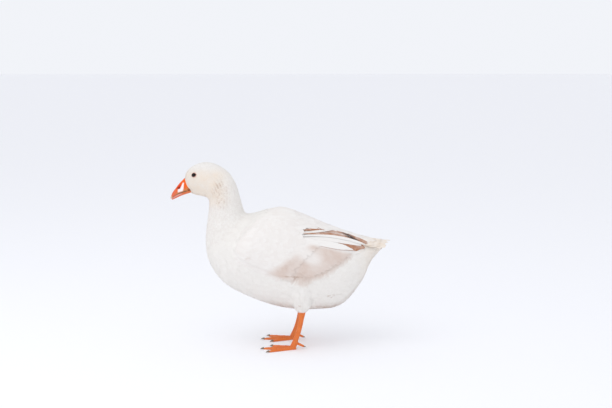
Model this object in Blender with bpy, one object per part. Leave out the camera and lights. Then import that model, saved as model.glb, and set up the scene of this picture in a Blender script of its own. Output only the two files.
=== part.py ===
"""A white domestic goose standing alert, as a life-size still model.

Units are metres. +Z is up, the bill points along -Y and the bird's left side is +X.
The origin lies on the floor under the middle of the bird.

The body is one lofted shape whose oval sections fan round the bend of the throat and the
bend at the root of the neck. It is parted into head, neck, trunk and tail by thin cuts.
The folded wings are shells that lie on the trunk, and the legs stand under its middle.
"""

import math

import bmesh
import bpy
import numpy as np
from mathutils import Vector

# Driving dimensions
CUT = 0.0003  # the gap between neighbouring pieces
LEG_SPREAD = 0.058  # each foot's distance from the middle plane
ANKLE_Y = 0.034  # where the shank meets the foot
ANKLE_TOP = 0.0110  # height of the foot under the shank
HOCK_Y = 0.058  # where the feathered thigh ends and the scaly shank begins
HOCK_Z = 0.106
TOE_LENGTHS = {"inner": 0.068, "middle": 0.086, "outer": 0.079}
TOE_ANGLES = {"inner": -27.0, "middle": -1.0, "outer": 26.0}  # degrees, outwards is plus
EYE_Y, EYE_Z = -0.2455, 0.4938
EYE_RADIUS, EYE_PROUD = 0.0086, 0.0020
# The bill in the side view, (y, z) at quarters of its length from the face to the tip
BILL_RIDGE = [(-0.2733, 0.4822), (-0.2868, 0.4688), (-0.2975, 0.4552), (-0.3080, 0.4410), (-0.3138, 0.4252)]
BILL_EDGE = [(-0.2602, 0.4490), (-0.2745, 0.4452), (-0.2880, 0.4405), (-0.3005, 0.4338), (-0.3122, 0.4240)]
BILL_KEEL = [(-0.2570, 0.4410), (-0.2705, 0.4368), (-0.2845, 0.4318), (-0.2985, 0.4252), (-0.3095, 0.4202)]
WING_THICK = 0.0165
TAIL_TIP_Y = 0.3128

# Each section of the body: its point on the upper outline (y, z), its point on the lower
# outline (y, z), its half width, and how high its widest level lies between the two.
BODY = {
    "bill_base": ((-0.2733, 0.4822), (-0.2570, 0.4410), 0.0170, 0.50),
    "forehead": ((-0.267, 0.502), (-0.244, 0.435), 0.0240, 0.50),
    "brow": ((-0.249, 0.518), (-0.231, 0.432), 0.0290, 0.48),
    "crown": ((-0.216, 0.529), (-0.218, 0.429), 0.0335, 0.47),
    "hindcrown": ((-0.181, 0.522), (-0.210, 0.425), 0.0360, 0.47),
    "nape": ((-0.148, 0.500), (-0.206, 0.414), 0.0385, 0.50),
    "neck_top": ((-0.127, 0.466), (-0.207, 0.392), 0.0410, 0.50),
    "neck_mid": ((-0.115, 0.428), (-0.211, 0.363), 0.0440, 0.50),
    "neck_low": ((-0.107, 0.400), (-0.216, 0.328), 0.0490, 0.50),
    "neck_base": ((-0.098, 0.384), (-0.217, 0.286), 0.0590, 0.50),
    "shoulder": ((-0.073, 0.386), (-0.205, 0.235), 0.0770, 0.50),
    "breast": ((-0.037, 0.397), (-0.165, 0.180), 0.0940, 0.50),
    "back": ((0.008, 0.399), (-0.090, 0.138), 0.1040, 0.50),
    "loin": ((0.065, 0.378), (0.006, 0.1075), 0.1060, 0.49),
    "rump": ((0.128, 0.351), (0.103, 0.102), 0.0970, 0.48),
    "vent": ((0.185, 0.330), (0.174, 0.117), 0.0800, 0.51),
    "tail_root": ((0.232, 0.315), (0.229, 0.181), 0.0580, 0.58),
    "tail_coverts": ((0.266, 0.306), (0.257, 0.2435), 0.0400, 0.66),
    "tail_end": ((0.290, 0.301), (0.286, 0.278), 0.0250, 0.70),
}
STATION = {name: index for index, name in enumerate(BODY)}

# Where the pieces part, as a place along the stations
HEAD_END = STATION["nape"] + 0.45
NECK_END = STATION["neck_base"] + 0.15
TRUNK_END = STATION["tail_root"] - 0.35

# The folded wing's outline on the body: a place along the stations, then the angles down
# from the middle of the back, in degrees, of its upper and its lower edge.
WING = [
    (STATION["shoulder"] + 0.00, 76.0, 86.0),
    (STATION["shoulder"] + 0.42, 50.0, 99.0),
    (STATION["breast"], 33.0, 104.0),
    (STATION["back"], 19.0, 106.0),
    (STATION["loin"], 14.0, 104.0),
    (STATION["rump"], 12.0, 93.0),
    (STATION["vent"], 11.0, 71.0),
    (STATION["tail_root"], 13.0, 48.0),
    (STATION["tail_root"] + 0.72, 22.0, 38.0),
]
WING_PARTING = 0.60  # share of the wing's length that the arm and its coverts take

# Linear colours, roughness
FINISHES = {
    "plumage": ((0.80, 0.76, 0.72), 0.85),
    "quills": ((0.76, 0.70, 0.65), 0.70),
    "bill": ((0.78, 0.22, 0.05), 0.35),
    "nail": ((0.75, 0.45, 0.33), 0.35),
    "eye": ((0.012, 0.006, 0.006), 0.08),
    "leg": ((0.72, 0.27, 0.08), 0.55),
    "claw": ((0.35, 0.24, 0.17), 0.40),
}


def finish(name):
    """The material of that name, made once."""
    material = bpy.data.materials.get(name)
    if material is None:
        colour, roughness = FINISHES[name]
        material = bpy.data.materials.new(name)
        material.use_nodes = True
        shader = material.node_tree.nodes["Principled BSDF"]
        shader.inputs["Base Color"].default_value = (*colour, 1.0)
        shader.inputs["Roughness"].default_value = roughness
        shader.inputs["Metallic"].default_value = 0.0
    return material


def add_piece(name, mesh, material_name):
    piece = bpy.data.objects.new(name, mesh)
    bpy.context.scene.collection.objects.link(piece)
    mesh.materials.append(finish(material_name))
    mesh.shade_smooth()
    mesh.set_sharp_from_angle(angle=math.radians(40))
    return piece


def mesh_from(name, bm):
    """A closed mesh with its faces turned outwards."""
    bmesh.ops.recalc_face_normals(bm, faces=bm.faces)
    mesh = bpy.data.meshes.new(name)
    bm.to_mesh(mesh)
    bm.free()
    return mesh


def loft(name, rings, material_name):
    """A closed solid through rings of points, with a flat cap at each end."""
    bm = bmesh.new()
    loops = [[bm.verts.new(point) for point in ring] for ring in rings]
    for near, far in zip(loops, loops[1:]):
        for i in range(len(near)):
            j = (i + 1) % len(near)
            bm.faces.new((near[i], near[j], far[j], far[i]))
    bm.faces.new(loops[0][::-1])
    bm.faces.new(loops[-1])
    return add_piece(name, mesh_from(name, bm), material_name)


def slab(name, upper, lower, material_name):
    """A closed solid between two grids of points of the same size, walled round its edge."""
    rows, columns = len(upper), len(upper[0])
    bm = bmesh.new()
    above = [[bm.verts.new(point) for point in row] for row in upper]
    below = [[bm.verts.new(point) for point in row] for row in lower]
    for r in range(rows - 1):
        for c in range(columns - 1):
            bm.faces.new((above[r][c], above[r][c + 1], above[r + 1][c + 1], above[r + 1][c]))
            bm.faces.new((below[r][c], below[r + 1][c], below[r + 1][c + 1], below[r][c + 1]))
    border = [(0, c) for c in range(columns - 1)]
    border += [(r, columns - 1) for r in range(rows - 1)]
    border += [(rows - 1, c) for c in range(columns - 1, 0, -1)]
    border += [(r, 0) for r in range(rows - 1, 0, -1)]
    for (r, c), (r2, c2) in zip(border, border[1:] + border[:1]):
        bm.faces.new((above[r2][c2], above[r][c], below[r][c], below[r2][c2]))
    return add_piece(name, mesh_from(name, bm), material_name)


def smooth(table, at):
    """Rows of numbers read off the smooth curve that passes through them, at places along it."""
    table = np.asarray(table, float)
    slope = np.gradient(table, axis=0)
    at = np.clip(np.asarray(at, float), 0, len(table) - 1)
    low = np.minimum(at.astype(int), len(table) - 2)
    t = (at - low)[..., None]
    a, b, da, db = table[low], table[low + 1], slope[low], slope[low + 1]
    rise = t * t * (3 - 2 * t)
    return a + (b - a) * rise + da * t * (1 - t) ** 2 - db * t * t * (1 - t)


def body_points(place, angle, grow=0.0):
    """Points of the body at places along the stations and angles down from the mid back.

    A section is two half ovals that share the widest level, so it is round all the way.
    """
    rows = [(*top, *foot, half, level) for top, foot, half, level in BODY.values()]
    place, angle = np.broadcast_arrays(np.asarray(place, float), np.asarray(angle, float))
    y1, z1, y0, z0, half, level = np.moveaxis(smooth(rows, place), -1, 0)
    length = np.hypot(y1 - y0, z1 - z0)
    high = np.cos(angle)
    reach = np.where(high > 0, (1 - level) * length + grow, level * length + grow) * high
    share = level + reach / length
    x = (half + grow) * np.sin(angle)
    return np.stack([x, y0 + (y1 - y0) * share, z0 + (z1 - z0) * share], axis=-1)


def body_lifted(place, angle, lift):
    """Points lifted off the body along its outward normal."""
    step = 0.01
    along = body_points(np.asarray(place) + step, angle) - body_points(np.asarray(place) - step, angle)
    around = body_points(place, np.asarray(angle) + step) - body_points(place, np.asarray(angle) - step)
    normal = np.cross(along, around)
    normal /= np.linalg.norm(normal, axis=-1, keepdims=True)
    points = body_points(place, angle)
    outward = points * [1, 0, 0]
    normal *= np.where((normal * outward).sum(-1, keepdims=True) < 0, -1, 1)
    return points + normal * np.asarray(lift)[..., None]


def body_on_side(y, z):
    """The body's point, and its outward normal, on the left side at that y and z."""
    places, angles = np.meshgrid(np.linspace(0, 8, 161), np.linspace(0.3, 2.8, 101))
    points = body_points(places, angles)
    nearest = np.argmin(np.hypot(points[..., 1] - y, points[..., 2] - z))
    place, angle = places.flat[nearest], angles.flat[nearest]
    point = body_points(place, angle)
    raised = body_lifted(place, angle, 1.0)
    return Vector(point), Vector(raised - point)


def body_span(name, start, end, rings, around, material_name="plumage"):
    """A length of the body between two places along the stations."""
    angles = np.linspace(0, 2 * math.pi, around, endpoint=False)
    places = np.linspace(start, end, rings)
    return loft(name, body_points(places[:, None], angles[None, :]), material_name)


def cut_away(piece, cutter):
    """Takes the cutter's shape out of the piece, and hides the cutter."""
    cutter.hide_render = True
    cutter.display_type = "WIRE"
    boolean = piece.modifiers.new("cut by " + cutter.name, "BOOLEAN")
    boolean.operation = "DIFFERENCE"
    boolean.object = cutter


def join_on(piece, other):
    """Makes the other shape one body with the piece."""
    other.hide_render = True
    other.display_type = "WIRE"
    boolean = piece.modifiers.new("joined with " + other.name, "BOOLEAN")
    boolean.operation = "UNION"
    boolean.object = other


def ball(name, centre, radii, material_name, segments=14, rings=9):
    bm = bmesh.new()
    bmesh.ops.create_uvsphere(bm, u_segments=segments, v_segments=rings, radius=1.0)
    for vert in bm.verts:
        vert.co = Vector(centre) + Vector(a * b for a, b in zip(vert.co, radii))
    return add_piece(name, mesh_from(name, bm), material_name)


def sides():
    return (("left", 1), ("right", -1))


def build_body():
    head = body_span("head", 0, HEAD_END - 0.003, 15, 28)
    body_span("neck", HEAD_END + 0.003, NECK_END - 0.003, 9, 28)
    body_span("trunk", NECK_END + 0.003, TRUNK_END - 0.003, 19, 36)
    tail = body_span("tail", TRUNK_END + 0.003, STATION["tail_end"], 9, 24)
    join_on(tail, tail_fan())
    for side, sign in sides():
        point, normal = body_on_side(EYE_Y, EYE_Z)
        centre = point + normal * (EYE_PROUD - EYE_RADIUS)
        centre.x *= sign
        ball(f"eye_{side}", centre, [EYE_RADIUS] * 3, "eye")
        socket = ball(f"eye_socket_{side}", centre, [EYE_RADIUS + CUT] * 3, "plumage")
        cut_away(head, socket)


def tail_fan():
    """The spread quills: an arched blade that widens and thins towards its rounded end."""
    root_y, root_z, tip_z = 0.232, 0.3085, 0.3025
    half_root, half_tip, arch = 0.040, 0.055, 0.020
    t, s = np.meshgrid(np.linspace(0, 1, 8), np.linspace(-1, 1, 13), indexing="ij")
    length = (TAIL_TIP_Y - root_y) * (1 - 0.25 * s**2)
    x = s * (half_root + (half_tip - half_root) * t)
    y = root_y + length * t
    z = root_z + (tip_z - root_z) * t - arch * s**2 * (0.45 + 0.55 * t)
    thick = 0.010 - 0.0078 * t
    edge = np.sqrt(np.clip(1 - (0.96 * s) ** 2, 0, 1))
    thick = 0.0012 + (thick - 0.0012) * edge
    lower = np.stack([x, y, z - thick], -1)
    return slab("tail_fan", np.stack([x, y, z], -1), lower, "quills")


def build_wings():
    places, uppers, lowers = np.array(WING).T

    def shell(name, first, last, rows, sign, material_name):
        columns = 11
        s = np.linspace(first, last, rows)
        at = s**1.15 * (len(WING) - 1)
        place, upper, lower = smooth(np.stack([places, uppers, lowers], 1), at).T
        t = np.linspace(0, 1, columns)
        angle = np.radians(upper[:, None] + (lower - upper)[:, None] * t)
        place = np.broadcast_to(place[:, None], angle.shape)
        rounded = (1 - np.abs(2 * t - 1) ** 2.6)[None, :] ** 0.6
        along = np.sqrt(np.clip(s / 0.22, 0, 1)) * (1 - 0.62 * np.clip((s - 0.35) / 0.65, 0, 1))
        thick = 0.0030 + (WING_THICK - 0.0030) * along[:, None] * rounded
        lift = CUT * 2 + 0.002 * np.clip((s - 0.8) / 0.2, 0, 1)[:, None] ** 2 + 0 * t
        flip = [sign, 1, 1]
        outer = body_lifted(place, angle, lift + thick) * flip
        inner = body_lifted(place, angle, lift) * flip
        return slab(name, outer, inner, material_name)

    for side, sign in sides():
        shell(f"wing_{side}", 0.0, WING_PARTING - 0.001, 16, sign, "plumage")
        shell(f"flight_feathers_{side}", WING_PARTING + 0.001, 1.0, 11, sign, "quills")


def build_bill():
    """Each half of the bill: sections from the face's plane to the tip, between its ridge or
    keel line and its cutting edge."""
    ridge, gape, half_base, _ = BODY["bill_base"]
    across = np.subtract(ridge, gape) / np.linalg.norm(np.subtract(ridge, gape))
    nudge = CUT * np.array([-across[1], across[0]])

    def ring(t, edge, crest, half, points, squareness):
        half = max(half * (1 - 0.14 * t) * math.sqrt(1 - t**5), 0.0020)
        angles = np.linspace(0, math.pi, points)
        rise = np.sin(angles) ** squareness
        x = half * np.sign(np.cos(angles)) * np.abs(np.cos(angles)) ** 0.9
        y, z = (edge[:, None] + (crest - edge)[:, None] * rise)
        return np.stack([x, y, z], -1)

    def upper_ring(t):
        return ring(t, smooth(BILL_EDGE, 4 * t) + nudge, smooth(BILL_RIDGE, 4 * t) + nudge, half_base, 11, 0.85)

    def lower_ring(t):
        edge = smooth(BILL_EDGE, 4 * t) + nudge + [0.0004 + 0.0012 * t, -0.0007]
        return ring(t, edge, smooth(BILL_KEEL, 4 * t) + nudge, 0.93 * half_base, 9, 0.9)

    nail_start = 0.86
    rows = [*np.linspace(0, 0.82, 10), nail_start - 0.003]
    upper = loft("bill_upper", [upper_ring(t) for t in rows], "bill")
    loft("bill_nail", [upper_ring(t) for t in np.linspace(nail_start + 0.003, 1, 5)], "nail")
    loft("bill_lower", [lower_ring(t) for t in np.linspace(0, 1, 12)], "bill")
    for side, sign in sides():
        centre = (sign * 0.0108, -0.2925, 0.4557)
        nostril = ball(f"nostril_{side}", centre, (0.0040, 0.0042, 0.0019), "bill", 10, 6)
        cut_away(upper, nostril)


def build_thigh(side, sign):
    """The feathered drumstick, from inside the flank down to the hock, cut off by the belly."""
    x = sign * LEG_SPREAD
    rings = []
    for t in np.linspace(0, 1, 8):
        radius = 0.013 + 0.030 * (1 - t) ** 0.8
        centre = (x - sign * 0.004 * (1 - t), HOCK_Y - 0.012 * (1 - t), HOCK_Z + 0.085 * (1 - t))
        angles = np.linspace(0, 2 * math.pi, 20, endpoint=False)
        rings.append(
            [(centre[0] + radius * math.cos(a), centre[1] + 1.25 * radius * math.sin(a), centre[2]) for a in angles]
        )
    thigh = loft(f"thigh_{side}", rings, "plumage")
    angles = np.linspace(0, 2 * math.pi, 40, endpoint=False)
    places = np.linspace(STATION["breast"], STATION["vent"], 19)
    flank = loft(f"flank_{side}", body_points(places[:, None], angles[None, :], 2.5 * CUT), "plumage")
    cut_away(thigh, flank)


def shank(name, sign, grow=0.0):
    """The scaly shank: a slightly flattened tube with a knob at the hock and at the foot."""
    rings = []
    for t in np.linspace(0, 1, 11):
        knob = 0.0024 * math.exp(-((t / 0.16) ** 2)) + 0.0020 * math.exp(-(((1 - t) / 0.14) ** 2))
        wide, deep = 0.0056 + knob + grow, 0.0072 + knob + grow
        y = HOCK_Y + (ANKLE_Y - HOCK_Y) * t + 0.004 * math.sin(math.pi * t)
        z = HOCK_Z - CUT + (ANKLE_TOP + 2 * CUT - HOCK_Z) * t
        angles = np.linspace(0, 2 * math.pi, 16, endpoint=False)
        rings.append([(sign * LEG_SPREAD + wide * math.cos(a), y + deep * math.sin(a), z) for a in angles])
    return loft(name, rings, "leg")


def foot_lines():
    """The foot's columns, from the inner edge to the outer: (start, end, top)."""
    lines = []
    names = list(TOE_LENGTHS)
    for i, toe in enumerate(names):
        angle = math.radians(TOE_ANGLES[toe])
        ahead = np.array([math.sin(angle), -math.cos(angle)])
        across = np.array([math.cos(angle), math.sin(angle)])
        tip = ahead * TOE_LENGTHS[toe]
        root = ahead * -0.006 + np.array([(i - 1) * 0.0035, 0])
        for offset, height, short in ((-1, 0.35, 0.95), (0, 1.0, 1.0), (1, 0.35, 0.95)):
            start = root + across * offset * 0.0040
            end = tip * short + across * offset * 0.0036
            lines.append((start, end, height))
        if i < 2:
            after = math.radians(TOE_ANGLES[names[i + 1]])
            for share in (0.28, 0.5, 0.72):
                turn = angle + (after - angle) * share
                reach = TOE_LENGTHS[toe] * (1 - share) + TOE_LENGTHS[names[i + 1]] * share
                reach *= 0.90 - 0.14 * math.sin(math.pi * share)
                way = np.array([math.sin(turn), -math.cos(turn)])
                lines.append((way * 0.004 + root * (1 - share), way * reach, 0.0))
    return lines


def build_foot(side, sign):
    """The webbed foot: toes with flat pads on the floor, and webs hung between them."""
    lines = foot_lines()
    upper, lower = [], []
    for t in np.linspace(0, 1, 8):
        top_row, low_row = [], []
        for start, end, height in lines:
            x, y = start + (end - start) * t
            toe_top = ANKLE_TOP - 0.0050 * t**0.5 - 0.0012 * t
            web_top = 0.0030 + 0.0040 * max(0, 1 - t / 0.25) ** 2
            place = (sign * (LEG_SPREAD + x), ANKLE_Y + y)
            top_row.append((*place, web_top + (toe_top - web_top) * height))
            low_row.append((*place, 0.0 if height > 0 else 0.0008))
        upper.append(top_row)
        lower.append(low_row)
    slab(f"foot_{side}", upper, lower, "leg")


def claw(name, root, ahead, length, radius):
    """A curved, pointed nail that bends down from the toe's end."""
    ahead = Vector((*ahead, 0)).normalized()
    across = Vector((-ahead.y, ahead.x, 0))
    rings = []
    for t in np.linspace(0, 1, 5):
        size = radius * (1 - t) ** 0.7 + 0.0005
        centre = root + ahead * length * t - Vector((0, 0, 1)) * length * 0.28 * t * t
        angles = np.linspace(0, 2 * math.pi, 8, endpoint=False)
        rings.append([centre + across * size * math.cos(a) + Vector((0, 0, size * math.sin(a))) for a in angles])
    loft(name, rings, "claw")


def build_toe_ends(side, sign):
    for toe, length in TOE_LENGTHS.items():
        angle = math.radians(TOE_ANGLES[toe])
        ahead = (sign * math.sin(angle), -math.cos(angle))
        reach = length + CUT
        root = Vector((sign * LEG_SPREAD + ahead[0] * reach, ANKLE_Y + ahead[1] * reach, 0.0034))
        claw(f"claw_{side}_{toe}", root, ahead, 0.0085, 0.0024)


def build_hind_toe(side, sign):
    """The small raised toe behind the shank, with its claw."""
    x = sign * (LEG_SPREAD - 0.002)
    start, reach = ANKLE_Y + 0.005, 0.024
    rings = []
    for t in np.linspace(0, 1, 7):
        size = 0.0040 - 0.0014 * t
        angles = np.linspace(0, 2 * math.pi, 10, endpoint=False)
        y, z = start + reach * t, 0.0190 - 0.0115 * t
        rings.append([(x + size * math.cos(a), y, z + size * math.sin(a)) for a in angles])
    hind_toe = loft(f"hind_toe_{side}", rings, "leg")
    cut_away(hind_toe, shank(f"shank_room_{side}", sign, CUT))
    claw(f"claw_{side}_hind", Vector((x, start + reach + CUT, 0.0075)), (0, 1), 0.0060, 0.0019)


def build_legs():
    for side, sign in sides():
        build_thigh(side, sign)
        shank(f"shank_{side}", sign)
        build_foot(side, sign)
        build_toe_ends(side, sign)
        build_hind_toe(side, sign)


def main():
    for leftover in list(bpy.data.objects):
        bpy.data.objects.remove(leftover)
    build_body()
    build_wings()
    build_bill()
    build_legs()


main()
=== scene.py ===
import math

import bpy
import numpy as np
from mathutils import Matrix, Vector


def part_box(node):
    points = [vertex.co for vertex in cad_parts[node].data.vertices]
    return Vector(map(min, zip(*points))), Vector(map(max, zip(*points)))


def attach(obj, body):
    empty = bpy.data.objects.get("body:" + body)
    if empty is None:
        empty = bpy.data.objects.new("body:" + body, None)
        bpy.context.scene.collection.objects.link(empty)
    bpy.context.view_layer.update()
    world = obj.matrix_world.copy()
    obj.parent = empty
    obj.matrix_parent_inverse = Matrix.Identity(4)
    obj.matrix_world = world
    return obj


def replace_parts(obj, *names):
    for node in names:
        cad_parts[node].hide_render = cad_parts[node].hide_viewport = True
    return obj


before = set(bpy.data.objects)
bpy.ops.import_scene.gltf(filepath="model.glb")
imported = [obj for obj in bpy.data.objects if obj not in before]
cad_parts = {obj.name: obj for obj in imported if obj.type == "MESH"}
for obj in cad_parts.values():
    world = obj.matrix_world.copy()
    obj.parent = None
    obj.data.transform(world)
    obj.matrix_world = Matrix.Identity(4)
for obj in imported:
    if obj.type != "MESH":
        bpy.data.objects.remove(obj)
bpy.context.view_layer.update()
random = np.random.default_rng(11)
fullTurn = 2 * math.pi


def linear(hexColour):
    # sRGB hex to linear: c / 12.92 in the darks, otherwise ((c + 0.055) / 1.055) ^ 2.4
    values = [int(hexColour[i : i + 2], 16) / 255 for i in (1, 3, 5)]
    return (*[c / 12.92 if c < 0.04045 else ((c + 0.055) / 1.055) ** 2.4 for c in values], 1.0)


def ramp(x, low, high):
    # rises smoothly from 0 at low to 1 at high: t * t * (3 - 2 t)
    t = np.clip((x - low) / (high - low), 0, 1)
    return t * t * (3 - 2 * t)


def marksAcross(millimetres):
    # the scale that makes a pattern's marks this wide on coordinates in metres
    return 1000 / millimetres


def unit(vectors):
    # each vector over its own length
    return vectors / np.maximum(np.linalg.norm(vectors, axis=-1, keepdims=True), 1e-12)


def dot(a, b):
    # the products of the coordinates, added up
    return (a * b).sum(-1)


def runAlong(points):
    # the length of a line of points from its start to each of them
    return np.concatenate([[0], np.cumsum(np.linalg.norm(np.diff(points, axis=0), axis=1))])


def fillMesh(name, points, faceGroups):
    # each face group is an array of corner numbers, one row for each face
    mesh = bpy.data.meshes.new(name)
    points = np.asarray(points, np.float32).reshape(-1, 3)
    corners = np.concatenate([group.ravel() for group in faceGroups]).astype(np.int32)
    sizes = np.concatenate([np.full(len(group), group.shape[1]) for group in faceGroups])
    starts = np.concatenate([[0], np.cumsum(sizes)[:-1]]).astype(np.int32)
    mesh.vertices.add(len(points))
    mesh.vertices.foreach_set("co", points.ravel())
    mesh.loops.add(len(corners))
    mesh.loops.foreach_set("vertex_index", corners)
    mesh.polygons.add(len(sizes))
    mesh.polygons.foreach_set("loop_start", starts)
    mesh.update(calc_edges=True)
    mesh.validate()
    return mesh


def addPiece(name, mesh, material, sharpAngle=60):
    # smooth, but for edges that turn by more than the angle
    piece = bpy.data.objects.new(name, mesh)
    bpy.context.scene.collection.objects.link(piece)
    mesh.materials.append(material)
    mesh.shade_smooth()
    mesh.set_sharp_from_angle(angle=math.radians(sharpAngle))
    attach(piece, "root")
    return piece


def gridFaces(rows, columns, closed=False):
    # four corners for each cell of a grid of points, wrapping round when closed
    r = np.arange(rows - 1)[:, None]
    c = np.arange(columns if closed else columns - 1)[None, :]
    after = (c + 1) % columns
    cells = [r * columns + c, (r + 1) * columns + c, (r + 1) * columns + after, r * columns + after]
    return np.stack(np.broadcast_arrays(*cells), -1).reshape(-1, 4)


def outward(points, faceGroups):
    # turns every face round when the volume they enclose comes out negative
    points = np.asarray(points).reshape(-1, 3)
    volume = 0.0
    for group in faceGroups:
        for k in range(1, group.shape[1] - 1):
            a, b, c = points[group[:, 0]], points[group[:, k]], points[group[:, k + 1]]
            volume += dot(a, np.cross(b, c)).sum()
    return [group[:, ::-1] if volume < 0 else group for group in faceGroups]


def tubeFaces(rows, columns):
    # the wall round a tube's rings, and a face over each end
    near = np.arange(columns)[None, ::-1]
    far = np.arange(columns)[None, :] + (rows - 1) * columns
    return [gridFaces(rows, columns, True), near, far]


def tubeMesh(name, rings):
    # a closed mesh from rings of points
    return fillMesh(name, rings, outward(rings, tubeFaces(*rings.shape[:2])))


def repeatFaces(groups, count, size):
    # the same faces over again for each of count shapes of size points
    starts = (np.arange(count) * size)[:, None, None]
    return [(group[None] + starts).reshape(-1, group.shape[1]) for group in groups]


def slabMesh(name, upper, lower):
    # a closed mesh from two grids of points of one size, walled round the edge
    rows, columns = upper.shape[:2]
    count = rows * columns
    top = gridFaces(rows, columns)
    index = np.arange(count).reshape(rows, columns)
    edge = np.concatenate([index[0, :-1], index[:-1, -1], index[-1, :0:-1], index[:0:-1, 0]])
    after = np.roll(edge, -1)
    wall = np.stack([edge, after, after + count, edge + count], -1)
    points = np.concatenate([upper.reshape(-1, 3), lower.reshape(-1, 3)])
    return fillMesh(name, points, outward(points, [top, top[:, ::-1] + count, wall]))


def setAttribute(mesh, name, values):
    # one number for each vertex, or the same one for all
    layer = mesh.attributes.new(name, "FLOAT", "POINT")
    whole = np.broadcast_to(np.ravel(values), len(mesh.vertices))
    layer.data.foreach_set("value", whole.astype(np.float32))


def setMap(mesh, name, places):
    # a UV map from one place for each vertex, or the same one for all
    corners = np.empty(len(mesh.loops), np.int32)
    mesh.loops.foreach_get("vertex_index", corners)
    whole = np.broadcast_to(np.reshape(places, (-1, 2)), (len(mesh.vertices), 2))
    layer = mesh.uv_layers.new(name=name)
    layer.data.foreach_set("uv", whole[corners].astype(np.float32).ravel())


def newMaterial(name, sockets):
    # sockets name the shader's own inputs and the values that they hold
    material = bpy.data.materials.new(name)
    material.use_nodes = True
    tree = material.node_tree
    shader = tree.nodes["Principled BSDF"]
    for key, value in sockets.items():
        shader.inputs[key].default_value = value
    return material, tree, shader


def addNode(tree, kind, settings=None, links=None):
    # settings name a property or an input, links name an input and the socket that feeds it
    node = tree.nodes.new(kind)
    for key, value in (settings or {}).items():
        if isinstance(key, str) and hasattr(node, key):
            setattr(node, key, value)
        else:
            node.inputs[key].default_value = value
    for key, socket in (links or {}).items():
        tree.links.new(socket, node.inputs[key])
    return node


def mottled(tree, place, width, detail, dark, light):
    # patches of two colours, each about width millimetres across
    settings = {"Scale": marksAcross(width), "Detail": detail}
    patches = addNode(tree, "ShaderNodeTexNoise", settings, {0: place})
    settings = {"data_type": "RGBA", 6: linear(dark), 7: linear(light)}
    return addNode(tree, "ShaderNodeMix", settings, {0: patches.outputs[0]}).outputs[2]


def finishShader(tree, shader, colour, relief=None, strength=0.0, depth=0.0):
    # the colour feeds the shader, and the relief its normal, as a bump of a depth in metres
    tree.links.new(colour, shader.inputs["Base Color"])
    if relief is not None:
        settings = {"Strength": strength, "Distance": depth}
        bump = addNode(tree, "ShaderNodeBump", settings, {"Height": relief})
        tree.links.new(bump.outputs[0], shader.inputs["Normal"])


# top of the section (y, z), bottom (y, z), half width, share of the height that lies below
# the widest level, depth of the coat
bodySections = {
    "billBase": (-0.2733, 0.4822, -0.2570, 0.4410, 0.0170, 0.50, 0.0010),
    "forehead": (-0.267, 0.502, -0.244, 0.435, 0.0240, 0.50, 0.0014),
    "brow": (-0.249, 0.518, -0.231, 0.432, 0.0290, 0.48, 0.0016),
    "crown": (-0.216, 0.529, -0.218, 0.429, 0.0335, 0.47, 0.0019),
    "hindCrown": (-0.181, 0.522, -0.210, 0.425, 0.0360, 0.47, 0.0022),
    "nape": (-0.148, 0.500, -0.206, 0.414, 0.0385, 0.50, 0.0026),
    "neckTop": (-0.127, 0.466, -0.207, 0.392, 0.0410, 0.50, 0.0028),
    "neckMiddle": (-0.115, 0.428, -0.211, 0.363, 0.0440, 0.50, 0.0031),
    "neckLow": (-0.107, 0.400, -0.216, 0.328, 0.0490, 0.50, 0.0035),
    "neckBase": (-0.098, 0.384, -0.217, 0.286, 0.0590, 0.50, 0.0040),
    "shoulder": (-0.073, 0.386, -0.205, 0.235, 0.0770, 0.50, 0.0045),
    "breast": (-0.037, 0.397, -0.165, 0.180, 0.0940, 0.50, 0.0048),
    "back": (0.008, 0.399, -0.090, 0.138, 0.1040, 0.50, 0.0048),
    "loin": (0.065, 0.378, 0.006, 0.1075, 0.1060, 0.49, 0.0048),
    "rump": (0.128, 0.351, 0.103, 0.102, 0.0970, 0.48, 0.0048),
    "vent": (0.185, 0.330, 0.174, 0.117, 0.0800, 0.51, 0.0046),
    "tailRoot": (0.232, 0.315, 0.229, 0.181, 0.0580, 0.58, 0.0042),
    "tailCoverts": (0.266, 0.306, 0.257, 0.2435, 0.0400, 0.66, 0.0034),
    "tailEnd": (0.290, 0.301, 0.286, 0.278, 0.0250, 0.70, 0.0022),
}
station = {name: index for index, name in enumerate(bodySections)}
lastStation = len(bodySections) - 1

# along the body, then the angles down from the middle of the back of the wing's two edges
wingOutline = [
    (station["shoulder"], 76, 86),
    (station["shoulder"] + 0.42, 50, 99),
    (station["breast"], 33, 104),
    (station["back"], 19, 106),
    (station["loin"], 14, 104),
    (station["rump"], 12, 93),
    (station["vent"], 11, 71),
    (station["tailRoot"], 13, 48),
    (station["tailRoot"] + 0.72, 22, 38),
]

skinShape = {
    "map": (1100, 640),  # points along and round the body that every shape is read from
    "mesh": (394, 250),  # and those of the skin's own mesh
    "wingThickness": 0.0165,  # where the folded wing is thickest
    "wingEdge": 0.0030,  # and where it starts to rise from the body
    "wingCoat": 0.0066,  # the depth of its own feathers, which lie over the skin
    "hockBehind": 0.0096,  # how far behind the hock's middle the shank's rear side lies
    "thighLow": 0.002,  # the thigh is a cone that starts this far above the hock
    "thighRadius": 0.010,
    "thighSpread": 0.030,  # and rises by its height over this much more radius
    "thighHeight": 0.085,
    "thighPower": 1.25,
    "thighStretch": 1.25,  # length over width
    "thighRound": 0.006,  # the width of the soft bend where it meets the belly
    "furrowDepth": 0.0013,
    "furrowCount": 31,
    "furrowTwist": 0.21,  # how far a groove turns round the neck from station to station
}

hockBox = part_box("shank_left")
hockMiddle = 0.5 * (hockBox[0][0] + hockBox[1][0])
hockPlace = np.array([hockMiddle, hockBox[1][1] - skinShape["hockBehind"], hockBox[1][2]])


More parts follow.
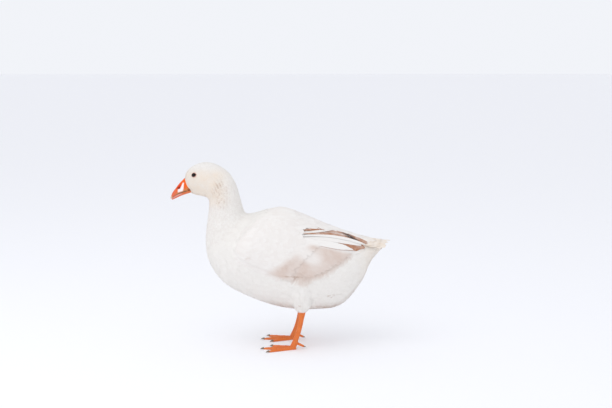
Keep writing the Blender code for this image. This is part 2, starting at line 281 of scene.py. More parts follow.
def smoothRows(table, at):
    # cubic curve through the rows: a + (b - a) s(t) + da t (1 - t)^2 - db t^2 (1 - t)
    table = np.asarray(table, float)
    slope = np.gradient(table, axis=0)
    at = np.clip(np.asarray(at, float), 0, len(table) - 1)
    low = np.minimum(at.astype(int), len(table) - 2)
    t = (at - low)[..., None]
    a, b, da, db = table[low], table[low + 1], slope[low], slope[low + 1]
    return a + (b - a) * t * t * (3 - 2 * t) + da * t * (1 - t) ** 2 - db * t * t * (1 - t)


def outerPoints(u, v):
    # each section: x = half width * sin v; along its height, two half ovals joined at the
    # widest level, cos v up or down from it
    y1, z1, y0, z0, half, level, _ = np.moveaxis(smoothRows(list(bodySections.values()), u), -1, 0)
    high = np.cos(v)
    share = level + np.where(high > 0, 1 - level, level) * high
    return np.stack([half * np.sin(v), y0 + (y1 - y0) * share, z0 + (z1 - z0) * share], -1)


wingSteps = np.linspace(0, 1, 400)
wingRows = smoothRows(wingOutline, wingSteps**1.15 * (len(wingOutline) - 1))


def wingPlace(u, v):
    # s runs from the wing's front to its tip, t from its upper edge (0) to its lower edge (1)
    s = np.interp(u, wingRows[:, 0], wingSteps, left=-1, right=2)
    down = np.degrees(np.where(v > math.pi, fullTurn - v, v))
    upper = np.interp(s, wingSteps, wingRows[:, 1])
    lower = np.interp(s, wingSteps, wingRows[:, 2])
    return s, (down - upper) / (lower - upper)


def wingProfile(s, t, power):
    # the share of the wing's full thickness: grows fast from the front, falls away to the
    # tip, and is an oval across, drawn low along its upper edge
    oval = np.clip(1 - np.abs(2 * t - 1) ** 2.6, 0, 1) ** power
    along = ramp(s, 0.0, 0.34) * (1 - 0.80 * np.clip((s - 0.35) / 0.65, 0, 1))
    return along * oval * (0.35 + 0.65 * ramp(t, 0.06, 0.45))


def wingBulge(u, v, coat):
    # how far the folded wing lifts the skin: a rounded slab that thins towards the tip
    s, t = wingPlace(u, v)
    inside = ramp(s, 0.0, 0.12) * (1 - ramp(s, 1.0, 1.02)) * ramp(t, -0.02, 0.12) * (1 - ramp(t, 0.95, 1.0))
    edge = skinShape["wingEdge"]
    thick = edge + (skinShape["wingThickness"] - edge) * wingProfile(s, t, 0.6)
    return inside * np.maximum(thick + coat - skinShape["wingCoat"], 0)


def neckFurrow(u, v):
    # grooves that run down the sides of the neck and lean backwards: a cosine across them
    phase = skinShape["furrowCount"] * (v + skinShape["furrowTwist"] * np.where(v < math.pi, -u, u))
    where = ramp(u, 3.8, 4.9) * (1 - ramp(u, 6.2, 9.4)) * ramp(np.sin(v) ** 2, 0.05, 0.5)
    return where * 0.5 * (1 - np.cos(phase))


def chartGrid(size):
    # u from one end of the body to the other, by v all the way round
    rows, columns = size
    u = np.linspace(0, lastStation, rows)[:, None] + np.zeros(columns)
    return u, np.linspace(0, fullTurn, columns, endpoint=False)[None, :] + 0 * u


def withTangents(points):
    # the twelve numbers of a map: point, normal, tangent along u, tangent along v
    rows, columns = points.shape[:2]
    around = (np.roll(points, -1, 1) - np.roll(points, 1, 1)) * columns / (2 * fullTurn)
    along = np.gradient(points, axis=0) * (rows - 1) / lastStation
    return np.concatenate([points, gridNormals(points), along, around], -1)


def skinMap():
    # the outline drawn in by the depth of the coat, with the wings' bulge and neck's grooves
    u, v = chartGrid(skinShape["map"])
    points = outerPoints(u, v)
    normals = gridNormals(points)
    coat = smoothRows(list(bodySections.values()), u)[..., 6]
    lift = wingBulge(u, v, coat) - coat - skinShape["furrowDepth"] * neckFurrow(u, v)
    points = points + normals * lift[..., None]
    # the thigh: under the body the skin is drawn down to the cone over the hock, to the lower
    # of the two heights, rounded where they meet
    across = (np.abs(points[..., 0]) - hockPlace[0]) ** 2
    radius = np.sqrt(across + ((points[..., 1] - hockPlace[1]) / skinShape["thighStretch"]) ** 2)
    rise = np.maximum(radius - skinShape["thighRadius"], 0) / skinShape["thighSpread"]
    cone = hockPlace[2] + skinShape["thighLow"] + skinShape["thighHeight"] * rise ** skinShape["thighPower"]
    under = (np.cos(v) < 0.1) & (u > station["breast"])
    height, soft = points[..., 2], skinShape["thighRound"]
    blend = 0.5 * (height + cone - np.sqrt((height - cone) ** 2 + soft**2))
    points[..., 2] = np.where(under, np.minimum(height, blend + 0.2 * soft), height)
    return withTangents(points)


def wingMap():
    # the folded wing's own surface, which runs on past its edges at the body's outline
    u, v = chartGrid(skinShape["map"])
    s, t = wingPlace(u, v)
    profile = wingProfile(np.clip(s, 0, 1), np.clip(t, 0, 1), 0.75)
    lift = (skinShape["wingThickness"] - skinShape["wingEdge"]) * profile
    points = outerPoints(u, v)
    return withTangents(points + gridNormals(points) * lift[..., None])


def gridNormals(points):
    # the cross product of the two tangents, turned round where a section's point inwards
    along = np.gradient(points, axis=0)
    around = np.roll(points, -1, 1) - np.roll(points, 1, 1)
    normals = np.cross(around, along)
    middle = points.mean(axis=1, keepdims=True)
    normals *= np.sign(dot(normals, points - middle).sum(axis=1))[:, None, None]
    return unit(normals)


skinLayers = skinMap()
wingLayers = wingMap()


def onSkin(u, v, layers=skinLayers):
    # point, normal, tangent along, tangent around, read off a map between its points
    rows, columns = layers.shape[:2]
    r = np.clip(u / lastStation * (rows - 1), 0, rows - 1.001)
    c = (v / fullTurn % 1.0) * columns
    r0, c0 = r.astype(int), c.astype(int) % columns
    fr, fc = (r - r0)[..., None], (c - np.floor(c))[..., None]
    c1 = (c0 + 1) % columns
    near = layers[r0, c0] * (1 - fc) + layers[r0, c1] * fc
    far = layers[r0 + 1, c0] * (1 - fc) + layers[r0 + 1, c1] * fc
    read = near * (1 - fr) + far * fr
    return read[..., :3], unit(read[..., 3:6]), read[..., 6:9], read[..., 9:12]


def chartMove(along, around, direction):
    # the change of u and v for one metre along a direction that lies in the skin
    length = np.linalg.norm(along, axis=-1)
    ahead = along / length[..., None]
    lean = dot(around, ahead)
    cross = around - lean[..., None] * ahead
    width = np.maximum(np.linalg.norm(cross, axis=-1), 1e-4)
    dv = dot(direction, cross / width[..., None]) / width
    return (dot(direction, ahead) - dv * lean) / length, dv


def walkOnSkin(u, v, heading, reach, steps):
    # places along a line that starts at u, v and keeps its heading from the tail's direction
    us, vs = [u], [v]
    for _ in range(steps - 1):
        _, _, along, around = onSkin(u, v)
        ahead = unit(along)
        cross = unit(around - dot(around, ahead)[..., None] * ahead)
        direction = np.cos(heading)[:, None] * ahead + np.sin(heading)[:, None] * cross
        du, dv = chartMove(along, around, direction)
        stride = reach / (steps - 1)
        u = np.clip(u + du * stride, 0, lastStation)
        v = v + dv * stride
        us.append(u)
        vs.append(v)
    return np.stack(us, 1), np.stack(vs, 1)


def vanePoints(u, v, across, back, height, layers):
    # u and v hold each vane's middle line; across is the way out from it, back the way
    # against its direction, height the way off the skin
    point, normal, along, around = onSkin(u, v, layers)
    forward = unit(np.gradient(point, axis=1))
    sideways = unit(np.cross(forward, normal))
    outU, outV = chartMove(along, around, sideways)
    onU, onV = chartMove(along, around, forward)
    wideU = u[..., None] + outU[..., None] * across - onU[..., None] * back
    wideV = v[..., None] + outV[..., None] * across - onV[..., None] * back
    points, normals, _, _ = onSkin(wideU, wideV, layers)
    return points + normals * height[..., None], wideU, wideV


def bakePlaces(u, v, low, high):
    # an unwrap of the skin: length along it by the turn round it, from 0.02 to 0.98
    return 0.02 + 0.96 * np.stack([(u - low) / (high - low), v / fullTurn % 1.0], -1)


print("skin map worked out")


soilAndShadeNames = ("dust", "rustAndShade", "cream", "partingShade")
soilAndShadeLayout = {
    "belly": 0.6,
    "wing": 0.68,
    "cheek": 0.70,
    "furrows": 1.15,
    # a paler patch in the dust: its middle, half length, half height and slope
    "clean": (0.076, 0.2765, 0.040, 0.0200, -0.62),
    # painted shade deep in the parting between two layers of feathers, given the same way
    "partingShade": (0.195, 0.3190, 0.026, 0.0034, -0.50),
    # the front and the upper edge of the dusty part of the wing, each a point and a slope
    "wingFront": (0.028, 0.278, 0.675),
    "wingTop": (0.140, 0.2952, -0.272),
    # small brown marks, given the same way and with a strength: spots of dirt on the belly, a thin line of
    # painted shadow under the wing's lower edge, and a faint V of painted shade where the flank feathers meet
    # the wing's front
    "marks": [
        (0.141, 0.153, 0.0034, 0.0030, 0.0, 0.8), (0.133, 0.157, 0.0024, 0.0020, 0.0, 0.7),
        (0.148, 0.159, 0.0022, 0.0018, 0.0, 0.6), (0.052, 0.128, 0.0040, 0.0024, 0.0, 0.5),
        (0.098, 0.121, 0.0030, 0.0022, 0.0, 0.5), (0.034, 0.2178, 0.0270, 0.0016, -0.05, 0.85),
        (-0.0945, 0.2700, 0.0080, 0.0022, 0.60, 0.20), (-0.0870, 0.2700, 0.0080, 0.0022, -0.70, 0.20),
    ],
}


def within(y, z, place):
    # 1 in the middle of a sloping oval seen from the side, 0.37 on its edge, 0 well outside
    y0, z0, long, high, slope = place
    ahead, above = (y - y0) + slope * (z - z0), (z - z0) - slope * (y - y0)
    return np.exp(-((np.hypot(ahead / long, above / high) / math.hypot(1, slope)) ** 4))


def soilAndShadeAt(points, u, v, style=None):
    # shares of each stain and painted shade at each place: grey-pink dust; rusty soil, with painted
    # shade in the neck's grooves, under the wing's lower edge and at its front; cream; painted shade
    # deep in the parting. A style may hold a strength for each, and only its feathers show the parting
    y, z = points[..., 1], points[..., 2]
    s, t = wingPlace(u, v % fullTurn)
    onWing = ramp(s, 0.30, 0.36) * (1 - ramp(s, 0.98, 1.0)) * (1 - ramp(t, 0.96, 1.06))
    wave = 0.5 + 0.5 * np.sin(61 * y + 37 * z + 2.1 * np.sin(43 * z - 29 * y))
    depth = []
    for y0, z0, slope in (soilAndShadeLayout["wingFront"], soilAndShadeLayout["wingTop"]):
        depth.append((z0 + slope * (y - y0) - z) / math.hypot(1, slope))
    rearWing = ramp(depth[0], -0.006, 0.018) * ramp(depth[1], -0.003, 0.010)
    clean = 1 - 0.8 * within(y, z, soilAndShadeLayout["clean"])
    dust = soilAndShadeLayout["wing"] * rearWing * (0.75 + 0.25 * wave) * onWing * clean
    under = ramp(-np.cos(v), 0.72, 0.95) * ramp(y, -0.10, 0.02) * (1 - ramp(y, 0.18, 0.24))
    rustAndShade = soilAndShadeLayout["belly"] * under * (0.35 + 0.65 * wave)
    for mark in soilAndShadeLayout["marks"]:
        rustAndShade = np.maximum(rustAndShade, mark[5] * within(y, z, mark[:5]))
    # painted shade: brown laid in the bottoms of the neck's grooves on the sides of its upper part
    hatched = np.exp(-(((u - 5.5) / 1.2) ** 2) - ((np.abs(np.cos(v)) - 0.06) / 0.42) ** 2)
    rustAndShade = np.maximum(rustAndShade, soilAndShadeLayout["furrows"] * hatched * neckFurrow(u, v % fullTurn) ** 1.3)
    cheek = ramp(-y, 0.13, 0.19) * ramp(z, 0.39, 0.43) * (1 - ramp(z, 0.49, 0.52))
    cream = 0.5 * ramp(y, 0.20, 0.28) + soilAndShadeLayout["cheek"] * cheek
    shares = (dust, rustAndShade, cream, within(y, z, soilAndShadeLayout["partingShade"]))
    strengths = [(style or {}).get(key, key != "partingShade") for key in soilAndShadeNames]
    return [share * strength for share, strength in zip(shares, strengths)]


# the colour of each stain and of each painted shade, and how much of it is left between its blotches
stainAndShadeColours = {
    "cream": ("#ecdcc9", 0.5),
    "dust": ("#caae9d", 0.78),
    "rustAndShade": ("#a0785c", 0.30),
    # the brown of the feathers in the parting: rusty stain with painted shade of the parting
    "gap": ("#a8642f", 0.55),
    "partingShade": ("#1c0d06", 0.80),
}
# widths in millimetres: the blotches of the stains and painted shade, the grain of the relief, and
# the barbs of body and flight feathers, drawn two or three times as wide as real ones so that they show
plumageShape = {
    "blotch": 18.18,
    "grain": 2.38,
    "bodyBarb": 0.9,
    "quillBarb": 1.2,
    "barbSlant": 0.55,
    "barbHeight": 0.35,
}


def plumageMaterial(name, white, rootWhite, barb, roughness, sheen):
    # keratin barbs on white feathers: dull and very pale, with a soft sheen at grazing
    # angles; stains and painted shade lie in blotches where the attributes put them, tone runs from the
    # root colour, painted shade near the feathers' roots, to white, and the barbs are a sine
    # wave that slants away from the shaft
    sockets = {"Roughness": roughness, "Sheen Weight": sheen, "Sheen Roughness": 0.5}
    material, tree, shader = newMaterial(name, {**sockets, "Specular IOR Level": 0.25})
    place = addNode(tree, "ShaderNodeTexCoord").outputs["Object"]
    read = {}
    for key in (*soilAndShadeNames, "tone", "gap"):
        read[key] = addNode(tree, "ShaderNodeAttribute", {"attribute_name": key}).outputs["Fac"]
    settings = {"Scale": marksAcross(plumageShape["blotch"]), "Detail": 5.0, "Roughness": 0.6}
    blotch = addNode(tree, "ShaderNodeTexNoise", settings, {0: place})
    settings = {"Scale": marksAcross(plumageShape["grain"]), "Detail": 3.0}
    fine = addNode(tree, "ShaderNodeTexNoise", settings, {0: place})
    # tone: from the darker root colour, painted shade where the feathers overlap, to white
    settings = {"data_type": "RGBA", 6: linear(rootWhite), 7: linear(white)}
    last = addNode(tree, "ShaderNodeMix", settings, {0: read["tone"]}).outputs[2]
    for key, (tint, least) in stainAndShadeColours.items():
        settings = {"From Min": 0.30, "From Max": 0.62, "To Min": least, "To Max": 1.0}
        spots = addNode(tree, "ShaderNodeMapRange", settings, {0: blotch.outputs[0]})
        settings = {"operation": "MULTIPLY", "use_clamp": True}
        amount = addNode(tree, "ShaderNodeMath", settings, {0: read[key], 1: spots.outputs[0]})
        settings = {"data_type": "RGBA", 7: linear(tint)}
        last = addNode(tree, "ShaderNodeMix", settings, {0: amount.outputs[0], 6: last}).outputs[2]
    vane = addNode(tree, "ShaderNodeUVMap", {"uv_map": "vane"}).outputs["UV"]
    split = addNode(tree, "ShaderNodeSeparateXYZ", {}, {0: vane})
    half = addNode(tree, "ShaderNodeMath", {"operation": "ABSOLUTE"}, {0: split.outputs[1]})
    settings = {"operation": "MULTIPLY_ADD", 1: -plumageShape["barbSlant"]}
    slant = addNode(tree, "ShaderNodeMath", settings, {0: half.outputs[0], 2: split.outputs[0]})
    settings = {"operation": "MULTIPLY", 1: fullTurn / plumageShape[barb]}
    barbs = addNode(tree, "ShaderNodeMath", settings, {0: slant.outputs[0]})
    wave = addNode(tree, "ShaderNodeMath", {"operation": "SINE"}, {0: barbs.outputs[0]})
    settings = {"operation": "MULTIPLY_ADD", 1: plumageShape["barbHeight"]}
    relief = addNode(tree, "ShaderNodeMath", settings, {0: wave.outputs[0], 2: fine.outputs[0]})
    finishShader(tree, shader, last, relief.outputs[0], 0.3, 0.0003)
    return material


downMaterial = plumageMaterial("bodyFeatherKeratin", "#f0ede8", "#e5dfd9", "bodyBarb", 0.9, 0.25)
quillMaterial = plumageMaterial("flightFeatherKeratin", "#f1eeea", "#e6dfd9", "quillBarb", 0.62, 0.15)


def dressPlumage(mesh, soilAndShade, tone, gap, bake, vane=(0, 0)):
    # what the plumage material reads: stains and painted shade, tone (on the feathers with painted shade
    # at their roots), gap (rusty stain with painted shade of the parting), the map for baking, and the
    # place on the vane in millimetres
    for key, values in zip(soilAndShadeNames, soilAndShade):
        setAttribute(mesh, key, values)
    setAttribute(mesh, "tone", tone)
    setAttribute(mesh, "gap", gap)
    setMap(mesh, "OFBake", bake)
    setMap(mesh, "vane", vane)


def makeSkin():
    # a coarser grid than the map's, closed at both ends
    u, v = chartGrid(skinShape["mesh"])
    points, _, _, _ = onSkin(u, v)
    mesh = tubeMesh("skin", points)
    dressPlumage(mesh, soilAndShadeAt(points, u, v), 0.35, 0, bakePlaces(u, v, 0, lastStation))
    skin = addPiece("skin", mesh, downMaterial)
    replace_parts(skin, "head", "neck", "trunk", "tail", "thigh_left", "thigh_right", "wing_left", "wing_right")


makeSkin()
print("skin made")


def featherFaces(count, rows, columns):
    # a closed lens: the cambered top, one strip below it, and a face at each end
    index = np.arange(rows * columns).reshape(rows, columns)
    left, right = index[:, 0], index[:, -1]
    below = np.stack([left[:-1], right[:-1], right[1:], left[1:]], -1)
    ends = np.stack([index[0], index[-1][::-1]])
    return repeatFaces((gridFaces(rows, columns), below, ends), count, rows * columns)


def featherForm(style, length, width, tone):
    # grids over p (root to tip) and q (across): the way out from the middle line is half the
    # width times a share that grows from the root and tapers at the tip, the end is a half
    # oval with a ragged edge, and the height is a rise along p, a camber, a shaft and a curl
    count, rows, columns = len(length), style["rows"], style["columns"]
    p = np.linspace(0, 1, rows)[None, :, None] ** 0.85 + np.zeros((count, 1, 1))
    q = np.linspace(-1, 1, columns)[None, None, :]
    q = q * np.abs(q) ** style.get("gather", 0)
    longer, wider = length[:, None, None], width[:, None, None]
    share = style["neck"] + (1 - style["neck"]) * (1 - (1 - p) ** 3)
    share = share * (1 - style["taper"] * p**7)
    split = random.random((count, rows, columns)) < style.get("splits", 0)
    share = share * np.where((np.abs(q) > 0.99) & split, 0.8, 1)
    across = 0.5 * wider * q * share
    oval = 1 - np.sqrt(1 - (0.985 * q) ** 2)
    ragged = style["ragged"] * random.uniform(0, 1, (count, 1, columns))
    back = p**3 * (style["round"] * wider * oval + longer * ragged)
    rise = style["rise"] * (0.7 + 0.6 * random.random((count, 1, 1)))
    camber = style["camber"] * (1 - q**2) * (0.5 + 0.5 * p)
    shaft = style.get("shaft", 0) * (q == 0) * (1 - 0.8 * p)
    curl = style["curl"] * p**4 * random.normal(0, 1, (count, 1, columns))
    height = rise * p**1.1 + camber + shaft + curl
    # painted shade: each feather darker towards its root, where the feathers over it cover it, times its own
    # random tone
    shade = np.clip(tone[:, None, None] * (0.75 + 0.25 * p) + 0 * q, 0, 1)
    return p, q, across, back, height, shade


def unfolded(points):
    # true for each feather whose cells all face the way of their own mean
    ahead = points[:, 1:, :-1] - points[:, :-1, :-1]
    aside = points[:, :-1, 1:] - points[:, :-1, :-1]
    facing = np.cross(ahead, aside).reshape(len(points), -1, 3)
    return (dot(facing, unit(facing.sum(axis=1, keepdims=True))) > 0).all(axis=1)


def plantFeathers(name, material, slot, lines, style, sizes, span, stainAndShade=0, layers=skinLayers):
    # lines: u and v of the middle lines; sizes: length, width, height of the root off the
    # skin and tone of each feather; span: the stretch of u that the bake map covers
    lineU, lineV = lines
    length, width, lift, tone = sizes
    p, q, across, back, height, shade = featherForm(style, length, width, tone)
    height = height + lift[:, None, None]
    points, wideU, wideV = vanePoints(lineU, lineV, across, back, height, layers)
    if style.get("sift"):
        keep = unfolded(points) & (lineU[:, -1] < lastStation - 0.05)
        whole = (np.broadcast_to(grid, keep.shape + grid.shape[1:]) for grid in (p, across, length, shade))
        p, across, length, shade = (grid[keep] for grid in whole)
        points, wideU, wideV, lineU, lineV = (grid[keep] for grid in (points, wideU, wideV, lineU, lineV))
    soilAndShade = soilAndShadeAt(points, wideU, wideV, style)
    places = bakePlaces(lineU[:, 0], lineV[:, 0], *span)
    return finishFeathers(name, material, points, (p, q, across, length, shade), soilAndShade, places, stainAndShade)


def bakePatches(places, p, q):
    # a patch 0.003 across at each root's place: p and q from -1 to 1 times half of that
    return places[:, None, None] + 0.0015 * np.stack(np.broadcast_arrays(p * 2 - 1, q), -1)


def finishFeathers(name, material, points, form, soilAndShade, places, stainAndShade):
    # the vane's place is the length along the middle line by the way out from it
    p, q, across, length, shade = form
    groups = outward(points, featherFaces(*shade.shape))
    mesh = fillMesh(name, points, groups)
    vane = np.stack(np.broadcast_arrays(length[:, None, None] * p * 1000, across * 1000), -1)
    dressPlumage(mesh, soilAndShade, shade, stainAndShade, bakePatches(places, p, q), vane)
    piece = addPiece(name, mesh, material)
    print(name, len(shade), "feathers,", sum(len(g) * (g.shape[1] - 2) for g in groups), "triangles")
    return piece


def rootsInRows(style):
    # along each line of constant v, a root each time the length along the skin grows by one
    # exposure; every second line starts half an exposure later
    samples = np.linspace(style["from"], style["to"], 500)
    lines, exposure = style["lines"], style["exposure"]
    places = []
    for j in range(lines):
        v = fullTurn * (j + 0.5) / lines
        point, _, _, _ = onSkin(samples, np.full(500, v))
        run = runAlong(point)
        at = np.arange(0.5 * (j % 2), run[-1] / exposure, 1.0) * exposure
        at = at + random.uniform(-0.22, 0.22, len(at)) * exposure
        u = np.interp(at, run, samples)
        places.append(np.stack([u, v + random.uniform(-0.25, 0.25, len(u)) * fullTurn / lines], -1))
    u, v = np.concatenate(places).T
    heading = random.normal(0, style["scatter"], len(u))
    scale = random.uniform(0.85, 1.15, len(u))
    tone = random.uniform(style["darkest"], 1, len(u))
    return np.stack([u, v % fullTurn, heading, scale, tone])


coatForm = {"neck": 0.5, "taper": 0.13, "round": 0.5, "sift": True}
bodyForm = {
    **coatForm, "lines": 112, "exposure": 0.0078, "length": 0.0320, "width": 0.0180, "rows": 5,
    "columns": 7, "ragged": 0.03, "rise": 0.0012, "lift": -0.0003, "camber": 0.0003, "curl": 0.00015,
    "scatter": 0.12, "darkest": 0.75,
}
coats = {
    "faceFeathers": {
        **coatForm, "from": 0.0, "to": 3.0, "lines": 132, "exposure": 0.0017, "length": 0.0048,
        "width": 0.0026, "rows": 4, "columns": 4, "ragged": 0.08, "rise": 0.0003, "lift": -0.0001,
        "camber": 0.00016, "curl": 0.00005, "scatter": 0.12, "darkest": 0.4,
    },
    "headFeathers": {
        **coatForm, "from": 2.2, "to": station["nape"] + 0.2, "lines": 104, "exposure": 0.0028,
        "length": 0.0088, "width": 0.0044, "rows": 4, "columns": 5, "ragged": 0.06, "rise": 0.0005,
        "lift": -0.0002, "camber": 0.0002, "curl": 0.00007, "scatter": 0.12, "darkest": 0.4,
    },
    "neckFeathers": {
        **coatForm, "from": station["nape"] - 0.1, "to": station["neckBase"] + 0.1, "lines": 96,
        "exposure": 0.0044, "length": 0.0170, "width": 0.0070, "rows": 4, "columns": 6, "ragged": 0.06,
        "rise": 0.0008, "lift": -0.0003, "camber": 0.0003, "curl": 0.00012, "scatter": 0.14, "darkest": 0.35,
    },
    "breastFeathers": {
        **bodyForm, "from": station["neckBase"] - 0.2, "to": station["back"] + 0.1, "lines": 116,
        "exposure": 0.0070, "length": 0.0290, "width": 0.0165, "rise": 0.0011,
    },
    "bellyFeathers": {**bodyForm, "from": station["back"], "to": station["rump"] + 0.2},
    "ventFeathers": {**bodyForm, "from": station["rump"] + 0.2, "to": lastStation - 0.42},
}

eyeBox = np.array(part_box("eye_left"))
eyeShape = {
    "middle": eyeBox.mean(axis=0),
    "radius": 0.5 * (eyeBox[1] - eyeBox[0]).max(),
    "opening": (0.00600, 0.00475),
    "lidWidth": 0.0030,
    "lidHeight": 0.0007,
    "bareRim": 0.0013,
}


# the part of the wing that its own feathers cover, in s and t
wingBed = {"front": 0.20, "upper": 0.05, "lower": 0.92}


def bareSkin(lines):
    # true where no small feather may grow: over the eyes, and under the wing's own feathers
    u, v = lines[0][:, 0], lines[1][:, 0]
    half = np.array(eyeShape["opening"]) + eyeShape["bareRim"]
    point, _, _, _ = onSkin(*lines)
    apart = (point[..., 1:] - eyeShape["middle"][1:]) / half
    overEye = (np.linalg.norm(apart, axis=-1) < 1).any(axis=1) & (u < station["hindCrown"])
    s, t = wingPlace(u, v)
    onWing = (s > wingBed["front"]) & (s < 1) & (t > wingBed["upper"]) & (t < wingBed["lower"])
    return overEye | onWing


def faceScale(u, v):
    # feathers shrink towards the bill and towards the eyes
    point, _, _, _ = onSkin(u, v)
    apart = np.linalg.norm(np.abs(point) * (1, -1, 1) - eyeShape["middle"], axis=1)
    byBill, byEye = ramp(u, 0.0, 1.6), ramp(apart, 0.009, 0.022)
    return 0.55 + 0.45 * np.minimum(byBill, byEye) + 0.25 * ramp(u, 2.0, 3.0)


def growLines(roots, style, rows):
    # the middle lines of what grows from the roots, and each one's scale and tone, without
    # those that would lie on bare skin; and the stretch of u that their bake map covers
    lines = walkOnSkin(*roots[:3], style["length"] * roots[3], rows)
    keep = ~bareSkin(lines)
    return [line[keep] for line in lines], *roots[3:, keep], (style["from"] - 0.3, style["to"] + 0.6)


def makeCoat(name, style):
    # feathers shrink over the rump and again at the tail's end
    roots = rootsInRows(style)
    if name == "faceFeathers":
        roots[3] *= faceScale(roots[0], roots[1])
    rump, tail = station["vent"] + 0.8, station["tailCoverts"]
    shrunk = 0.45 * ramp(roots[0], rump, tail + 0.3) + 0.2 * ramp(roots[0], tail + 0.2, tail + 0.6)
    roots[3] *= 1 - shrunk
    lines, scale, tone, span = growLines(roots, style, style["rows"])
    sizes = (style["length"] * scale, style["width"] * scale, np.full(len(scale), style["lift"]), tone)
    plantFeathers(name, downMaterial, "plumage", lines, style, sizes, span)


for coatName, style in coats.items():
    makeCoat(coatName, style)


# loose downy barbs that stand a little off the coat and soften the feathers' ends
downyBarbs = {
    "headDown": {
        "from": 0.05, "to": 5.2, "lines": 70, "exposure": 0.0052, "length": 0.0060, "radius": 0.00010,
        "rise": 0.0012, "start": 0.0004, "scatter": 0.25, "darkest": 0.85,
    },
    "neckDown": {
        "from": 5.0, "to": 9.4, "lines": 74, "exposure": 0.0072, "length": 0.0120, "radius": 0.00014,
        "rise": 0.0020, "start": 0.0006, "scatter": 0.25, "darkest": 0.85,
    },
    "bodyDown": {
        "from": 9.0, "to": 17.3, "lines": 100, "exposure": 0.0085, "length": 0.0170, "radius": 0.00018,
        "rise": 0.0026, "start": 0.0008, "scatter": 0.3, "darkest": 0.85,
    },
}


def makeDown(name, style):
    # three-sided spines of three rings: radius times (1 - 0.92 p) ^ 0.7 round a line that
    # lifts off the skin by p ^ 1.5
    roots = rootsInRows(style)
    roots[3] *= np.minimum(faceScale(roots[0], roots[1]), 1)
    (lineU, lineV), scale, tone, span = growLines(roots, style, 3)
    count = len(tone)
    point, normal, _, _ = onSkin(lineU, lineV)
    sideways = unit(np.cross(unit(np.gradient(point, axis=1)), normal))
    p = np.linspace(0, 1, 3)[None, :, None]
    turn = (np.arange(3) * fullTurn / 3)[None, None, :]
    radius = style["radius"] * (1 - 0.92 * p) ** 0.7
    rise = style["rise"] * scale[:, None, None] * p**1.5 * random.uniform(0.5, 1.1, (count, 1, 1))
    height = style["start"] + rise + radius * np.sin(turn)
    points = point[:, :, None] + normal[:, :, None] * height[..., None]
    points = points + sideways[:, :, None] * (radius * np.cos(turn))[..., None]
    mesh = fillMesh(name, points, outward(points, repeatFaces(tubeFaces(3, 3), count, 9)))
    soilAndShade = soilAndShadeAt(points, *(np.repeat(line[..., None], 3, -1) for line in (lineU, lineV)))
    places = bakePlaces(lineU[:, 0], lineV[:, 0], *span)
    dressPlumage(mesh, soilAndShade, np.repeat(tone, 9), 0, bakePatches(places, p, np.cos(turn)))
    addPiece(name, mesh, downMaterial)
    print(name, count, "barbs,", count * 14, "triangles")


for downName, style in downyBarbs.items():
    makeDown(downName, style)


# the part of the body's chart where a wing may lie: from the first station on, between two
# angles from the middle of the back; and the most that one of Newton's steps may change u and v
wingWindow = {"first": 8.5, "top": 0.03, "bottom": 2.3, "steps": (0.15, 0.05)}


def sidePlace(y, z, side):
    # the u and v of the wing's surface at y and z: the nearest of a grid, then Newton's steps
    first, top, bottom = (wingWindow[key] for key in ("first", "top", "bottom"))
    stepU, stepV = wingWindow["steps"]
    u, v = np.meshgrid(np.linspace(first, lastStation, 140), np.linspace(top, bottom, 110), indexing="ij")
    grid = onSkin(u, v, wingLayers)[0]
    away = (grid[..., 1].ravel() - y[..., None]) ** 2 + (grid[..., 2].ravel() - z[..., None]) ** 2
    nearest = away.argmin(-1)
    u, v = u.ravel()[nearest], v.ravel()[nearest]
    for _ in range(4):
        point, _, along, around = onSkin(u, v, wingLayers)
        dy, dz = y - point[..., 1], z - point[..., 2]
        size = along[..., 1] * around[..., 2] - along[..., 2] * around[..., 1]
        size = np.where(np.abs(size) < 1e-5, 1e-5, size)
        du = (dy * around[..., 2] - dz * around[..., 1]) / size
        dv = (along[..., 1] * dz - along[..., 2] * dy) / size
        u = np.clip(u + np.clip(du, -stepU, stepU), first, lastStation)
        v = np.clip(v + np.clip(dv, -stepV, stepV), top, bottom + 2 * stepV)
    return u, np.where(side > 0, v, fullTurn - v)


def quillLines(starts, ends, bow, rows, side):
    # from start to end in the side view, bent by bow times 4 p (1 - p) across the line
    p = (np.linspace(0, 1, rows) ** 0.85)[None, :, None]
    starts, ends = np.asarray(starts)[:, None], np.asarray(ends)[:, None]
    across = unit(ends - starts)[..., ::-1] * (-1, 1)
    line = starts + (ends - starts) * p + np.reshape(bow, (-1, 1, 1)) * 4 * p * (1 - p) * across
    return sidePlace(line[..., 0], line[..., 1], side)


def pathPoints(corners, shares):
    # points at the given shares of the length of a line through the corners
    corners = np.asarray(corners, float)
    run = runAlong(corners)
    return np.stack([np.interp(shares * run[-1], run, corners[:, k]) for k in range(2)], -1)


def between(ends, share):
    # a straight change from the first of two values to the last, or one value all the way
    return np.interp(share, [0, 1], np.broadcast_to(ends, 2))


